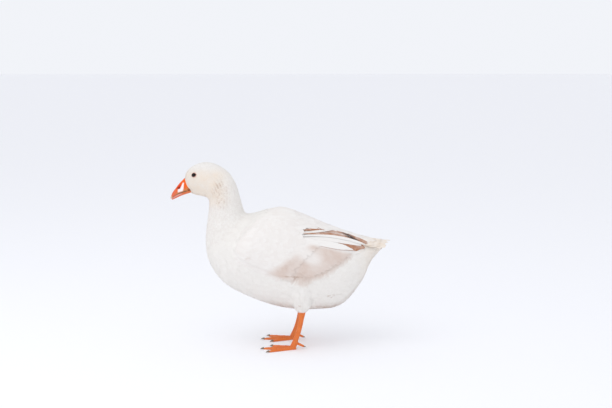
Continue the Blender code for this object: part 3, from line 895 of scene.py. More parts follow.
# rows of long feathers of one wing, each drawn in the side view (y, z) from the line of its
# roots to the line of its tips; height is that of the first and of the last root off the wing;
# a row without a count is a single feather
wingRowsOfQuills = {
    "primaries": {
        "count": 6, "roots": [(0.125, 0.262), (0.140, 0.292)],
        "tips": [(0.226, 0.2830), (0.268, 0.3005)], "bow": 0.006,
        "width": (0.017, 0.015), "height": (-0.0004, 0.0004), "tone": 0.8, "cream": 2.6, "dust": 0.5,
    },
    "secondaries": {
        "count": 15, "roots": [(-0.035, 0.236), (-0.012, 0.262), (0.020, 0.292), (0.075, 0.318)],
        "tips": [(0.056, 0.2150), (0.0888, 0.2135), (0.1133, 0.2258), (0.1747, 0.2570), (0.201, 0.2790)],
        "bow": 0.006, "width": (0.024, 0.027), "height": (-0.0002, 0.0012), "tone": 0.85,
        "form": {"taper": 0.30, "round": 0.6, "rise": 0.0006, "camber": 0.0005},
    },
    # the gap's brown and the dark of the parting on the rows that lie in it (these, and the brown, under and
    # split tertials): rusty stain with painted shade of the parting
    "stainedTertials": {
        "count": 2, "roots": [(0.062, 0.3385), (0.062, 0.345)],
        "tips": [(0.2445, 0.2985), (0.2460, 0.3010)], "bow": 0.0095,
        "width": 0.015, "height": (0.0026, 0.0022), "tone": 0.7, "stainAndShade": 0.9, "partingShade": 1.0,
        "form": {"taper": 0.6, "round": 0.7},
    },
    "brownTertials": {
        "roots": [(0.152, 0.3045)], "tips": [(0.2355, 0.2890)], "bow": 0.0020,
        "width": 0.028, "height": 0.0016, "tone": 0.6, "stainAndShade": 0.9, "partingShade": 0.6,
        "form": {"taper": 0.5, "round": 0.7, "neck": 0.2, "rise": 0.0020},
    },
    "underTertials": {
        "roots": [(0.052, 0.3165)], "tips": [(0.2035, 0.2842)], "bow": 0.0040,
        "width": 0.021, "height": 0.0008, "tone": 1.0, "stainAndShade": 0.6, "dust": 0.5,
        "form": {"taper": 0.70, "round": 0.8, "neck": 0.15, "rise": 0.0032},
    },
    "lensTertials": {
        "roots": [(0.052, 0.3185)], "tips": [(0.2010, 0.2862)], "bow": 0.0040,
        "width": 0.021, "height": 0.0012, "tone": 1.0, "dust": 0.0,
        "form": {"taper": 0.70, "round": 0.8, "neck": 0.15, "rise": 0.0036},
    },
    "upperTertials": {
        "roots": [(0.050, 0.3240)], "tips": [(0.2245, 0.2965)], "bow": 0.0075,
        "width": 0.0150, "height": 0.0010, "tone": 0.8, "dust": 0.3,
        "form": {"taper": 0.6, "rise": 0.0036},
    },
    "thinTertials": {
        "roots": [(0.050, 0.3315)], "tips": [(0.2390, 0.2945)], "bow": 0.0115,
        "width": 0.0105, "height": 0.0014, "tone": 1.0, "dust": 0.0,
        "form": {"taper": 0.6, "rise": 0.0038},
    },
    "streakTertials": {
        "roots": [(0.0450, 0.3385)], "tips": [(0.1480, 0.3374)], "bow": 0.001,
        "width": 0.0085, "height": 0.0026, "tone": 0.6, "dust": 0.5,
        "form": {"rise": 0.0026, "camber": 0.0003, "taper": 0.7, "round": 0.8},
    },
    "splitTertials": {
        "roots": [(0.1020, 0.3470)], "tips": [(0.1330, 0.3345)], "bow": -0.001,
        "width": 0.0022, "height": 0.0050, "tone": 0.5, "stainAndShade": 1.0,
        "form": {"rise": -0.0008, "camber": 0.0003},
    },
    "greaterCoverts": {
        "count": 9, "roots": [(-0.052, 0.243), (-0.030, 0.270), (0.000, 0.298), (0.030, 0.322)],
        "tips": [(0.012, 0.2245), (0.040, 0.243), (0.072, 0.268), (0.105, 0.304)],
        "bow": 0.004, "width": 0.024, "height": (0.0010, 0.0020), "tone": 0.9,
        "form": {"taper": 0.2, "round": 0.5, "rise": 0.0006, "camber": 0.0005},
    },
}
quillForm = {
    "rows": 15, "columns": 11, "gather": 0.5, "neck": 0.35, "taper": 0.42, "round": 0.55, "ragged": 0.02,
    "rise": 0.0011, "camber": 0.0009, "shaft": 0.0005, "curl": 0.0002, "splits": 0.04,
}
wingFeathers = {"span": (8, lastStation), "sunk": 0.0030, "jitter": 0.0016}


def makeQuills(side, ending):
    # each row's roots and tips lie at even shares of their two lines, a little out of line
    for rowName, row in wingRowsOfQuills.items():
        count = row.get("count", 1)
        shares = np.linspace(0, 1, count)
        jitter = random.normal(0, wingFeathers["jitter"], (2, count, 2)) * (count > 1)
        starts = pathPoints(row["roots"], shares) + jitter[0]
        ends = pathPoints(row["tips"], shares) + jitter[1]
        stainAndShadeShares = {key: row[key] for key in soilAndShadeNames if key in row}
        style = {**quillForm, **stainAndShadeShares, **row.get("form", {})}
        bow = row["bow"] * random.uniform(0.8, 1.2, count)
        lines = quillLines(starts, ends, bow, style["rows"], side)
        length = np.linalg.norm(ends - starts, axis=1)
        width = between(row["width"], shares) * random.uniform(0.95, 1.05, count)
        lift = between(row["height"], shares) - wingFeathers["sunk"]
        tone = np.clip(row["tone"] + random.uniform(-0.06, 0.06, count), 0, 1)
        name, sizes, stainAndShade = rowName + ending.title(), (length, width, lift, tone), row.get("stainAndShade", 0)
        planted = (lines, style, sizes, wingFeathers["span"], stainAndShade, wingLayers)
        quills = plantFeathers(name, quillMaterial, "quills", *planted)
        if rowName == "primaries":
            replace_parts(quills, "flight_feathers_" + ending)


# shingled rows of wing feathers: each lane runs back at a constant share of the way from one
# edge of the group to the other; both edges are given as angles down from the back along u;
# bury sinks the first feathers of each lane, tuck the lanes at both edges
wingShingles = {
    "lesserCoverts": {
        "lanes": 27, "along": (9.75, 12.35),
        "edges": [(9.75, 62, 94), (10.2, 54, 97), (10.4, 48, 102), (10.7, 38, 106), (11, 30, 108),
                  (11.6, 26, 109.5), (12.4, 22, 110)],
        "exposure": (0.0062, 0.0105), "length": (0.024, 0.038), "width": (0.0145, 0.021),
        "height": -0.0006, "bury": 0.0040, "tuck": 0.0040,
        "form": {"rows": 5, "columns": 7, "rise": 0.0007, "camber": 0.0004, "sift": True},
    },
    "medianCoverts": {
        "lanes": 18, "along": (11.95, 12.55), "edges": [(11.9, 35, 106), (12.6, 36, 103)],
        "exposure": (0.015, 0.019), "length": (0.042, 0.050), "width": (0.022, 0.025),
        "height": -0.0010, "bury": 0.0, "tuck": 0.0,
        "form": {"rows": 7, "columns": 9, "rise": 0.0008, "camber": 0.0005},
    },
    "scapulars": {
        "lanes": 8, "along": (10.0, 15.2),
        "edges": [(10, 0, 62), (11, 0, 48), (12, 0, 43), (13.2, 1, 35), (14, 1, 27), (14.6, 2, 23),
                  (15, 4, 25), (15.6, 6, 29), (16.2, 8, 31), (17, 10, 30)],
        "exposure": (0.011, 0.024), "length": (0.032, 0.080), "width": (0.018, 0.024),
        "height": -0.0008, "bury": 0.0060, "tuck": 0.0,
        "form": {"rows": 9, "columns": 9, "round": 0.6, "rise": 0.0010, "camber": 0.0006},
    },
}
shingleForm = {
    "neck": 0.45, "taper": 0.2, "gather": 0.3, "shaft": 0.0003, "round": 0.5, "ragged": 0.03, "curl": 0.0001,
}


def makeShingles(side, ending):
    # down each lane the feathers' exposure, length and width change evenly from the first
    # value to the last, and each lies half an exposure past its neighbour in the next lane
    for groupName, group in wingShingles.items():
        stations, upper, lower = np.array(group["edges"], float).T
        style = {**shingleForm, **group["form"]}
        first, last = group["along"]
        samples = np.linspace(first, lastStation - 0.4, 700)
        top, bottom = np.interp(samples, stations, upper), np.interp(samples, stations, lower)
        p = np.linspace(0, 1, style["rows"]) ** 0.85
        linesU, linesV, sizes = [], [], []
        for lane in range(group["lanes"]):
            share = (lane + 0.5) / group["lanes"]
            down = np.radians(top * (1 - share) + bottom * share)
            v = down if side > 0 else fullTurn - down
            run = runAlong(onSkin(samples, v, wingLayers)[0])
            extent = np.interp(last, samples, run)
            tucked = 0.0006 * share + group["tuck"] * max(1 - 7 * min(share, 1 - share), 0)
            at = group["exposure"][0] * (0.5 * (lane % 2) + 0.2 * random.random())
            while at < extent:
                grown = at / max(extent, 1e-6)
                start = at + random.normal(0, 0.08) * group["exposure"][0]
                length = between(group["length"], grown) * random.uniform(0.92, 1.08)
                linesU.append(np.interp(start + length * p, run, samples))
                linesV.append(np.interp(start + length * p, run, v) + random.normal(0, 0.006))
                low = group["height"] - tucked - group["bury"] * (1 - min(4 * grown, 1))
                sizes.append((length, between(group["width"], grown), low, random.uniform(0.45, 0.85)))
                at += between(group["exposure"], grown)
        lines = np.array(linesU), np.array(linesV)
        planted = (lines, style, np.array(sizes).T, wingFeathers["span"], 0, wingLayers)
        plantFeathers(groupName + ending.title(), quillMaterial, "plumage", *planted)


for side, ending in ((1, "left"), (-1, "right")):
    makeQuills(side, ending)
    makeShingles(side, ending)


tailFan = {
    "rootY": 0.232,
    "tipY": 0.3128,
    "rootZ": 0.3085,
    "tipZ": 0.3025,
    "rootHalf": 0.040,
    "tipHalf": 0.055,
    "arch": 0.018,
    # how much shorter the fan is at its edges, and how deep its middle lies in the coat
    "rounding": 0.32,
    "sunk": 0.0032,
}
belowTail = {"from": -0.2, "vary": 0.03, "width": 0.020}
tailRows = {
    "tailQuills": {"count": 16, "from": -0.25, "to": 0.985, "reach": 0.80, "width": 0.022, "lift": 0.0},
    "tailCoverts": {"count": 17, "from": -0.10, "to": 0.72, "reach": 0.90, "width": 0.018, "lift": 0.0010},
    "underCoverts": {**belowTail, "count": 11, "to": 0.86, "reach": 0.66, "lift": -0.0060},
    "ventCoverts": {**belowTail, "count": 9, "to": 0.80, "reach": 0.52, "lift": -0.0120},
    "lowCoverts": {**belowTail, "count": 7, "to": 0.765, "reach": 0.38, "lift": -0.0180},
    "shortCoverts": {**belowTail, "count": 5, "to": 0.73, "reach": 0.26, "lift": -0.0240},
    "rumpCoverts": {"count": 15, "from": -0.35, "to": 0.48, "reach": 0.90, "width": 0.018, "lift": 0.0018},
}
tailForm = {
    **quillForm, "rise": 0.0006, "camber": 0.0005, "round": 0.85, "taper": 0.5, "ragged": 0.008,
    "splits": 0.0,
}
tailStains = {"cream": 0.80, "dust": 0.05}


def fanPoint(a, b):
    # a runs across from -1 to 1, b back: the half width grows with b, the edges are shorter,
    # and the blade hangs down by the arch times a squared; with its normal
    half = tailFan["rootHalf"] + (tailFan["tipHalf"] - tailFan["rootHalf"]) * b
    y = tailFan["rootY"] + (tailFan["tipY"] - tailFan["rootY"]) * (1 - tailFan["rounding"] * a**2) * b
    hang = tailFan["arch"] * (0.45 + 0.55 * b)
    z = tailFan["rootZ"] + (tailFan["tipZ"] - tailFan["rootZ"]) * b - hang * a**2
    normal = unit(np.stack([2 * hang * a / half, 0.07 + 0 * a, 1 + 0 * a], -1))
    return np.stack([a * half, y, z], -1), normal, half


def makeTail():
    # each feather runs back along b at its own a; it lies higher in the middle of the fan
    # than at the edges, and tilts so that its inner edge lies over its neighbour
    long = tailFan["tipY"] - tailFan["rootY"]
    for rowName, row in tailRows.items():
        count, first = row["count"], row["from"]
        middle = np.linspace(-row["reach"], row["reach"], count)
        length = (row["to"] - first) * long * random.uniform(1 - row.get("vary", 0.10), 1.0, count)
        width = row["width"] * random.uniform(0.95, 1.05, count)
        tone = random.uniform(0.85, 1, count)
        p, q, across, back, height, shade = featherForm(tailForm, length, width, tone)
        b = first + length[:, None, None] / long * p - back / long
        a = middle[:, None, None] + across / fanPoint(0 * b, b)[2]
        place, normal, _ = fanPoint(a, b)
        over = row["lift"] - tailFan["sunk"] + 0.0026 * (1 - np.abs(middle))
        tilt = 0.0006 * across / width[:, None, None] * np.sign(middle)[:, None, None]
        points = place + normal * (over[:, None, None] + height - tilt)[..., None]
        stainAndShadeShares = [tailStains.get(key, 0) for key in soilAndShadeNames]
        places = np.stack([0.5 + 0.45 * middle, 0.5 + 0 * middle], -1)
        form = (p, q, across, length, shade)
        finishFeathers(rowName, quillMaterial, points, form, stainAndShadeShares, places, 0)


makeTail()
print("feathers made")


def eyeMaterial():
    # a wet cornea over a near-black pupil and a dark red-brown iris: one sharp highlight
    sockets = {"Roughness": 0.08, "Coat Weight": 0.22, "Coat Roughness": 0.04}
    material, tree, shader = newMaterial("wetCornea", {**sockets, "Specular IOR Level": 0.12})
    ring = addNode(tree, "ShaderNodeAttribute", {"attribute_name": "ring"}).outputs["Fac"]
    colours = addNode(tree, "ShaderNodeValToRGB", {}, {0: ring})
    stops = [(0.0, "#030202"), (0.36, "#040202"), (0.44, "#260a07"), (0.62, "#3a100a"), (0.80, "#140504")]
    colours.color_ramp.elements.remove(colours.color_ramp.elements[1])
    colours.color_ramp.elements[0].color = linear(stops[0][1])
    for place, colour in stops[1:]:
        colours.color_ramp.elements.new(place).color = linear(colour)
    finishShader(tree, shader, colours.outputs[0])
    return material


def lidMaterial():
    # bare wrinkled skin round the eye: dull pink, dark red-brown where it meets the cornea,
    # with folds 0.7 mm apart
    material, tree, shader = newMaterial("bareLidSkin", {"Roughness": 0.55})
    rim = addNode(tree, "ShaderNodeAttribute", {"attribute_name": "rim"}).outputs["Fac"]
    settings = {"data_type": "RGBA", 6: linear("#dab2a2"), 7: linear("#451812")}
    mix = addNode(tree, "ShaderNodeMix", settings, {0: rim})
    place = addNode(tree, "ShaderNodeTexCoord").outputs["Object"]
    folds = addNode(tree, "ShaderNodeTexNoise", {"Scale": marksAcross(0.667), "Detail": 2.0}, {0: place})
    finishShader(tree, shader, mix.outputs[2], folds.outputs[0], 0.4, 0.0002)
    return material


def headPlace(y, z):
    # the u and v of the left side of the head that lie nearest to y, z in the side view
    u, v = np.meshgrid(np.linspace(0, 5, 300), np.linspace(0.1, 3.0, 300), indexing="ij")
    point = onSkin(u, v)[0]
    nearest = ((point[..., 1] - y) ** 2 + (point[..., 2] - z) ** 2).argmin()
    return u.ravel()[nearest], v.ravel()[nearest]


def eyeballPoints(look, front, up):
    # a ball: theta from the gaze, phi round it, and a slight bulge for the cornea; with theta
    theta = np.linspace(0.002, math.pi - 0.002, 48)[:, None]
    phi = np.linspace(0, fullTurn, 64, endpoint=False)[None, :]
    size = eyeShape["radius"] * (1 + 0.035 * np.exp(-((theta / 0.5) ** 2)))
    aside = np.cos(phi)[..., None] * front + np.sin(phi)[..., None] * up
    return size[..., None] * (np.cos(theta)[..., None] * look + np.sin(theta)[..., None] * aside), theta


def lidPoints(look, front, up):
    # a flattened ring that rests on the ball: phi runs round the opening, an oval with pointed
    # corners, and c round the ring's section; with the share that is dark rim
    phi = np.linspace(0, fullTurn, 96, endpoint=False)[:, None]
    c = np.linspace(0, fullTurn, 20, endpoint=False)[None, :]
    wrinkles = 0.00003 * np.sin(23 * phi) * (1 + np.cos(c))
    out = 0.5 * eyeShape["lidWidth"] * (1 + 0.92 * np.cos(c)) + wrinkles
    long, high = eyeShape["opening"]
    radius = eyeShape["radius"]
    ahead = (long + out) * np.cos(phi)
    above = (high + out) * np.sin(phi) * np.abs(np.sin(phi)) ** 0.22
    rest = np.sqrt(np.maximum(radius**2 - ahead**2 - above**2, (0.45 * radius) ** 2))
    height = rest + 0.0001 + eyeShape["lidHeight"] * np.where(np.sin(c) > 0, 0.9, 2.6) * np.sin(c)
    ring = ahead[..., None] * front + above[..., None] * up + height[..., None] * look
    return ring, ramp(-np.cos(c) + 0 * phi, -0.1, 0.85)


def makeEyes():
    # the gaze is the skin's own direction where the eye sits, turned a little forward
    u, v = headPlace(*eyeShape["middle"][1:])
    _, normal, _, _ = onSkin(np.array([u]), np.array([v]))
    gaze = unit(normal[0] + (0, -0.05, 0))
    wet, bare = eyeMaterial(), lidMaterial()
    for side, ending in ((1, "left"), (-1, "right")):
        mirror = np.array([side, 1, 1])
        middle, look = eyeShape["middle"] * mirror, gaze * mirror
        billWay = np.array([0.0, -1, -0.12])
        front = unit(billWay - look * np.dot(billWay, look))
        up = np.cross(look, front) * side
        ball, theta = eyeballPoints(look, front, up)
        mesh = tubeMesh("eyeball_" + ending, middle + ball)
        setAttribute(mesh, "ring", np.broadcast_to(theta / 1.2, ball.shape[:2]).clip(0, 1))
        eyeball = addPiece("eyeball_" + ending, mesh, wet, 180)
        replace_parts(eyeball, "eye_" + ending)
        ring, rim = lidPoints(look, front, up)
        near = np.arange(rim.size).reshape(rim.shape)
        far = np.roll(near, -1, 0)
        cells = np.stack([near, far, np.roll(far, -1, 1), np.roll(near, -1, 1)], -1).reshape(-1, 4)
        mesh = fillMesh("lids_" + ending, middle + ring, outward(ring, [cells]))
        setAttribute(mesh, "rim", rim)
        addPiece("lids_" + ending, mesh, bare, 180)


makeEyes()
print("eyes made")


# the bill in the side view, (y, z) at quarters of its length from the face to the tip
billLines = {
    "ridge": [(-0.2733, 0.4822), (-0.2868, 0.4688), (-0.2975, 0.4552), (-0.3080, 0.4410), (-0.3138, 0.4252)],
    "edge": [(-0.2602, 0.4490), (-0.2745, 0.4452), (-0.2880, 0.4405), (-0.3005, 0.4338), (-0.3122, 0.4240)],
    "keel": [(-0.2570, 0.4410), (-0.2705, 0.4368), (-0.2845, 0.4318), (-0.2985, 0.4252), (-0.3095, 0.4202)],
}
billShape = {
    "half": bodySections["billBase"][4],
    "nailStart": 0.845,
    "nailSwell": 0.0004,
    "nailDepth": 0.0008,
    "hidden": -0.07,
    # where the two halves end, as shares of the whole length
    "upperEnd": 0.90,
    "lowerEnd": 0.975,
    "nostril": (-0.2893, 0.4560),
    "nostrilSize": (0.0038, 0.0020),
    "nostrilDepth": 0.0032,
    "nostrilRim": 0.0005,
    "lamellae": 36,
    "lamellaDepth": 0.00035,
}


def alongBill(key, t):
    # a line of the bill at t, carried straight on into the head where t is below 0
    line = np.array(billLines[key])
    return smoothRows(line, 4 * np.clip(t, 0, 1)) + np.minimum(t, 0)[..., None] * 4 * (line[1] - line[0])


def billPoint(t, a, lower=False):
    # t runs from the face to the tip, a from the left cutting edge over the ridge (or keel)
    # to the right one: x is the half width times cos a, the rest rises with sin a
    edge = alongBill("edge", t)
    if lower:
        edge = edge + np.stack([0.0003 + 0.0002 * t, -0.0004 + 0 * t], -1)
    crest = alongBill("keel" if lower else "ridge", t)
    half = billShape["half"] * (0.93 if lower else 1.0) * (1 - 0.14 * t)
    half = np.maximum(half * np.sqrt(np.clip(1 - np.clip(t, 0, 1) ** 5, 0, 1)), 0.0020)
    x = half * np.sign(np.cos(a)) * np.abs(np.cos(a)) ** 0.9
    rise = np.sin(a).clip(0, 1) ** (0.9 if lower else 0.85)
    yz = edge + (crest - edge) * rise[..., None]
    return np.concatenate([x[..., None], yz], -1), rise


def band(x, middle, half):
    # 1 within the half width of the middle, falling smoothly to 0 by 1.6 half widths
    return 1 - ramp(np.abs(x - middle), 0.6 * half, 1.6 * half)


# the bill's pale painted reflection is an upright stroke and a level one at its foot, in the side
# view: each stroke passes through a place (along it, across it), leans by a slope, and fades in and
# out along its length; the red spot has a place and a size (y, z)
billMarks = {
    "upright": {"place": (0.4640, -0.2774), "slope": 0.26, "in": (0.4490, 0.4530), "out": (0.4680, 0.4725)},
    "uprightHalf": (0.0042, 0.0020),  # half width at its foot and at its top
    "level": {"place": (-0.2850, 0.4497), "slope": 0.30, "in": (-0.2935, -0.2890), "out": (-0.2790, -0.2745)},
    "levelHalf": 0.0038,
    "redPlace": (-0.2858, 0.4612),
    "redSize": (0.0038, 0.0048),
}


def stroke(along, across, mark, half):
    # a band on a leaning line, faded in at its start and out at its end
    place = mark["place"]
    line = band(across - mark["slope"] * (along - place[0]), place[1], half)
    return line * ramp(along, *mark["in"]) * (1 - ramp(along, *mark["out"]))


def billZones(points, t, rise, lower):
    # shares of the bill's colours at each place: salmon towards the tip, duller skin along
    # the cutting edge, red above the nostril, a pale boot-shaped painted reflection, the dark gape
    y, z = points[..., 1], points[..., 2]
    foot, top = billMarks["uprightHalf"]
    upright = stroke(z, y, billMarks["upright"], top + (foot - top) * (1 - ramp(z, 0.4520, 0.4700)))
    level = stroke(y, z, billMarks["level"], billMarks["levelHalf"])
    (redY, redZ), (long, high) = billMarks["redPlace"], billMarks["redSize"]
    zones = {
        "salmon": ramp(t, 0.36, 0.66),
        "dull": 0.85 * (1 - ramp(rise, 0.16, 0.42)) * (1 - ramp(t, 0.55, 0.75)),
        "red": np.exp(-(((y - redY) / long) ** 2) - ((z - redZ) / high) ** 2),
        "paintedReflection": np.maximum(upright, level),
        "edge": (1 - ramp(rise, 0.02, 0.10)) * ramp(t, 0.04, 0.16) * (1 - 0.7 * ramp(t, 0.45, 0.75)),
        "gape": 0.9 * (1 - ramp(t, 0.015, 0.075)) * (1 - ramp(rise, 0.06, 0.24)),
        "pit": 0 * t,
    }
    if lower:
        zones["salmon"] = 0.55 + 0.45 * ramp(t, 0.2, 0.5)
        zones["dull"] = 0.5 * (1 - ramp(t, 0.1, 0.6))
        zones["red"], zones["paintedReflection"] = 0 * t, 0.25 * band(rise, 0.3, 0.2) * ramp(t, 0.3, 0.5)
    return zones


billColours = {
    "salmon": "#dc6c4a",
    "dull": "#c9824f",
    "red": "#cf2c12",
    "gape": "#8a4a1e",
    # painted shade inside the nostril, in its pit
    "pit": "#560b08",
    "paintedReflection": "#f4efee",
    "edge": "#6e6650",
}


def billMaterial():
    # living horn sheath over the bill: waxy orange with a low gloss, 6 mm patches, worn spots
    # 2 mm across in its marks, and fine pits drawn 1 mm apart so that they show
    sockets = {"Roughness": 0.45, "Coat Weight": 0.05, "Coat Roughness": 0.04}
    material, tree, shader = newMaterial("waxyBillSheath", {**sockets, "Specular IOR Level": 0.22})
    place = addNode(tree, "ShaderNodeTexCoord").outputs["Object"]
    last = mottled(tree, place, 6.25, 4.0, "#de4a00", "#f86e00")
    worn = addNode(tree, "ShaderNodeTexNoise", {"Scale": marksAcross(2.38), "Detail": 4.0}, {0: place})
    settings = {"From Min": 0.32, "From Max": 0.56, "To Min": 0.80, "To Max": 1.05}
    worn = addNode(tree, "ShaderNodeMapRange", settings, {0: worn.outputs[0]}).outputs[0]
    for key, colour in billColours.items():
        read = addNode(tree, "ShaderNodeAttribute", {"attribute_name": key}).outputs["Fac"]
        settings = {"operation": "MULTIPLY", "use_clamp": True}
        share = addNode(tree, "ShaderNodeMath", settings, {0: read, 1: worn}).outputs[0]
        settings = {"data_type": "RGBA", 7: linear(colour)}
        last = addNode(tree, "ShaderNodeMix", settings, {0: share, 6: last}).outputs[2]
    pits = addNode(tree, "ShaderNodeTexNoise", {"Scale": marksAcross(1.111), "Detail": 3.0}, {0: place})
    finishShader(tree, shader, last, pits.outputs[0], 0.25, 0.0002)
    return material


def hornMaterial(name, roughness, coat, width, dark, light):
    # dead horn, polished by wear: two close tones in patches of a width in millimetres, with
    # a thin gloss
    sockets = {"Roughness": roughness, "Coat Weight": coat, "Coat Roughness": 0.04}
    material, tree, shader = newMaterial(name, sockets)
    place = addNode(tree, "ShaderNodeTexCoord").outputs["Object"]
    finishShader(tree, shader, mottled(tree, place, width, 3.0, dark, light))
    return material


def billNormals(points):
    # the cross product of the two tangents, turned away from the middle of its own section
    normals = unit(np.cross(np.gradient(points, axis=1), np.gradient(points, axis=0)))
    return normals * np.sign(dot(normals, points - points.mean(axis=1, keepdims=True)))[..., None]


def makeBillHalf(name, node, lower, sheath):
    # the outer surface over t and a, cut by small teeth along its edge and by the nostrils
    end = billShape["lowerEnd" if lower else "upperEnd"]
    t = np.linspace(billShape["hidden"], end, 120)[:, None] + np.zeros(97)
    a = np.linspace(0, math.pi, 97)[None, :] + 0 * t
    points, rise = billPoint(t, a, lower)
    zones = billZones(points, t, rise, lower)
    waves = np.abs(np.sin(math.pi * billShape["lamellae"] * t))
    teeth = billShape["lamellaDepth"] * waves * (1 - ramp(rise, 0.0, 0.08))
    offset = -teeth * ramp(t, 0.05, 0.15)
    if not lower:
        # an oval pit that leans back, with a raised rim
        y, z = points[..., 1] - billShape["nostril"][0], points[..., 2] - billShape["nostril"][1]
        ahead, above = 0.92 * y + 0.38 * z, 0.92 * z - 0.38 * y
        long, high = billShape["nostrilSize"]
        away = np.hypot(ahead / long, above / high)
        pit = np.exp(-(away**4))
        rim = np.exp(-(((away - 1.5) / 0.45) ** 2))
        offset = offset - billShape["nostrilDepth"] * pit + billShape["nostrilRim"] * rim
        zones["red"] = np.clip(zones["red"] + 0.6 * rim, 0, 1)
        # the pit is painted with the nostril's shade
        zones["pit"] = pit
        zones["paintedReflection"] = zones["paintedReflection"] * (1 - pit)
    points = points + billNormals(points) * offset[..., None]
    # the mouth's side: straight across from one cutting edge to the other, hollowed a little
    inner = points * (0.86, 1, 1)
    share = np.linspace(0, 1, 97)[None, :, None]
    palate = inner[:, :1] * (1 - share) + inner[:, -1:] * share
    palate[..., 2] += 0.0016 * (-1 if lower else 1) * np.sin(a)
    mesh = tubeMesh(name, np.concatenate([points, palate[:, ::-1][:, 1:-1]], axis=1))
    for key, values in zones.items():
        mouth = np.repeat(values[:, :1], t.shape[1] - 2, axis=1)
        setAttribute(mesh, key, np.concatenate([values, mouth], axis=1))
    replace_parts(addPiece(name, mesh, sheath, 50), node)


def makeNail(horn):
    # the last stretch of the ridge, a little thicker, with a rounded rear edge
    a = np.linspace(0, math.pi, 61)[None, :] + np.zeros((40, 1))
    start = billShape["nailStart"] + 0.035 * (1 - np.sin(a) ** 2)
    t = start + (1 - start) * np.linspace(0, 1, 40)[:, None]
    points, _ = billPoint(t, a)
    normals = billNormals(points)
    swell = billShape["nailSwell"] * np.sqrt(np.clip((t - start) / 0.03, 0, 1))
    upper, lower = points + normals * swell[..., None], points - normals * billShape["nailDepth"]
    mesh = slabMesh("billNail", upper, lower)
    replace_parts(addPiece("billNail", mesh, horn, 50), "bill_nail")


def makeBill():
    # both halves share one material; the nail sits on the upper one
    sheath = billMaterial()
    makeBillHalf("billUpper", "bill_upper", False, sheath)
    makeBillHalf("billLower", "bill_lower", True, sheath)
    makeNail(hornMaterial("paleNailHorn", 0.25, 0.4, 3.333, "#cfa184", "#e3c3a6"))


makeBill()
print("bill made")


legShape = {
    "ankleY": 0.034,
    "ankleTop": 0.0110,
    "hockY": 0.058,
    "hockZ": hockPlace[2],
    "spread": hockPlace[0],
    "shankHalf": (0.0056, 0.0072),
    "shankLength": 0.095,
    "toeLengths": {"inner": 0.068, "middle": 0.086, "outer": 0.079},
    "toeAngles": {"inner": -27.0, "middle": -1.0, "outer": 26.0},
    "toeHalf": 0.0040,
    "toeTipHalf": 0.0036,
    "scute": 0.0034,
    "scuteHeight": 0.00042,
    "toeClaw": (0.0085, 0.0024),
    "hindClaw": (0.0060, 0.0019),
}


def legMaterial():
    # scaly leg skin: orange, waxy, dull, with fine lines between scales 1.2 mm across and
    # patches of two oranges 11 mm across
    sockets = {"Roughness": 0.48, "Coat Weight": 0.1, "Coat Roughness": 0.04}
    material, tree, shader = newMaterial("scalyLegSkin", sockets)
    place = addNode(tree, "ShaderNodeTexCoord").outputs["Object"]
    settings = {"feature": "DISTANCE_TO_EDGE", "Scale": marksAcross(1.2195)}
    scales = addNode(tree, "ShaderNodeTexVoronoi", settings, {0: place})
    settings = {"From Min": 0.0, "From Max": 0.16}
    edges = addNode(tree, "ShaderNodeMapRange", settings, {0: scales.outputs["Distance"]}).outputs[0]
    body = mottled(tree, place, 11.11, 4.0, "#d9621c", "#f78f3d")
    settings = {"data_type": "RGBA", 6: linear("#d2641f")}
    mix = addNode(tree, "ShaderNodeMix", settings, {0: edges, 7: body})
    finishShader(tree, shader, mix.outputs[2], edges, 0.35, 0.0003)
    return material


def scuteWave(distance):
    # overlapping plates: each rises slowly over one scute's length and drops at its end
    share = (distance / legShape["scute"]) % 1.0
    return legShape["scuteHeight"] * (share**0.6 - ramp(share, 0.86, 1.0))


def shankRings(side):
    # a slightly flat tube with a knob at each end: wide cos a across, deep sin a along
    t = np.linspace(-0.08, 1.06, 120)[:, None]
    a = np.linspace(0, fullTurn, 48, endpoint=False)[None, :]
    knob = 0.0024 * np.exp(-((t / 0.16) ** 2)) + 0.0020 * np.exp(-(((1 - t) / 0.14) ** 2))
    y = legShape["hockY"] + (legShape["ankleY"] - legShape["hockY"]) * t + 0.004 * np.sin(math.pi * t)
    z = legShape["hockZ"] + (legShape["ankleTop"] - legShape["hockZ"]) * t
    frontal = ramp(-np.sin(a), 0.25, 0.6)
    plates = scuteWave(t * legShape["shankLength"]) * frontal - 0.0002 * (1 - frontal)
    wide, deep = (half + knob + plates for half in legShape["shankHalf"])
    x = side * legShape["spread"] + wide * np.cos(a)
    return np.stack([x, y + deep * np.sin(a), z + 0 * a], -1)


def footColumns():
    # start, end and height share of lines from the ankle: three for each toe, three a web;
    # a web's lines turn and shorten evenly from one toe to the next, and its edge curves in
    names = list(legShape["toeLengths"])
    lengths, angles = legShape["toeLengths"], legShape["toeAngles"]
    columns = []
    for i, toe in enumerate(names):
        angle = math.radians(angles[toe])
        ahead = np.array([math.sin(angle), -math.cos(angle)])
        across = np.array([math.cos(angle), math.sin(angle)])
        root = ahead * -0.006 + np.array([(i - 1) * 0.0035, 0])
        for offset, height, short in ((-1, 0.35, 0.95), (0, 1.0, 1.0), (1, 0.35, 0.95)):
            start = root + across * offset * legShape["toeHalf"]
            end = ahead * lengths[toe] * short + across * offset * legShape["toeTipHalf"]
            columns.append((*start, *end, height))
        if i < 2:
            after = math.radians(angles[names[i + 1]])
            for share in (0.28, 0.5, 0.72):
                turn = angle + (after - angle) * share
                reach = lengths[toe] * (1 - share) + lengths[names[i + 1]] * share
                reach *= 0.90 - 0.14 * math.sin(math.pi * share)
                way = np.array([math.sin(turn), -math.cos(turn)])
                columns.append((*(way * 0.004 + root * (1 - share)), *(way * reach), 0.0))
    return np.array(columns)


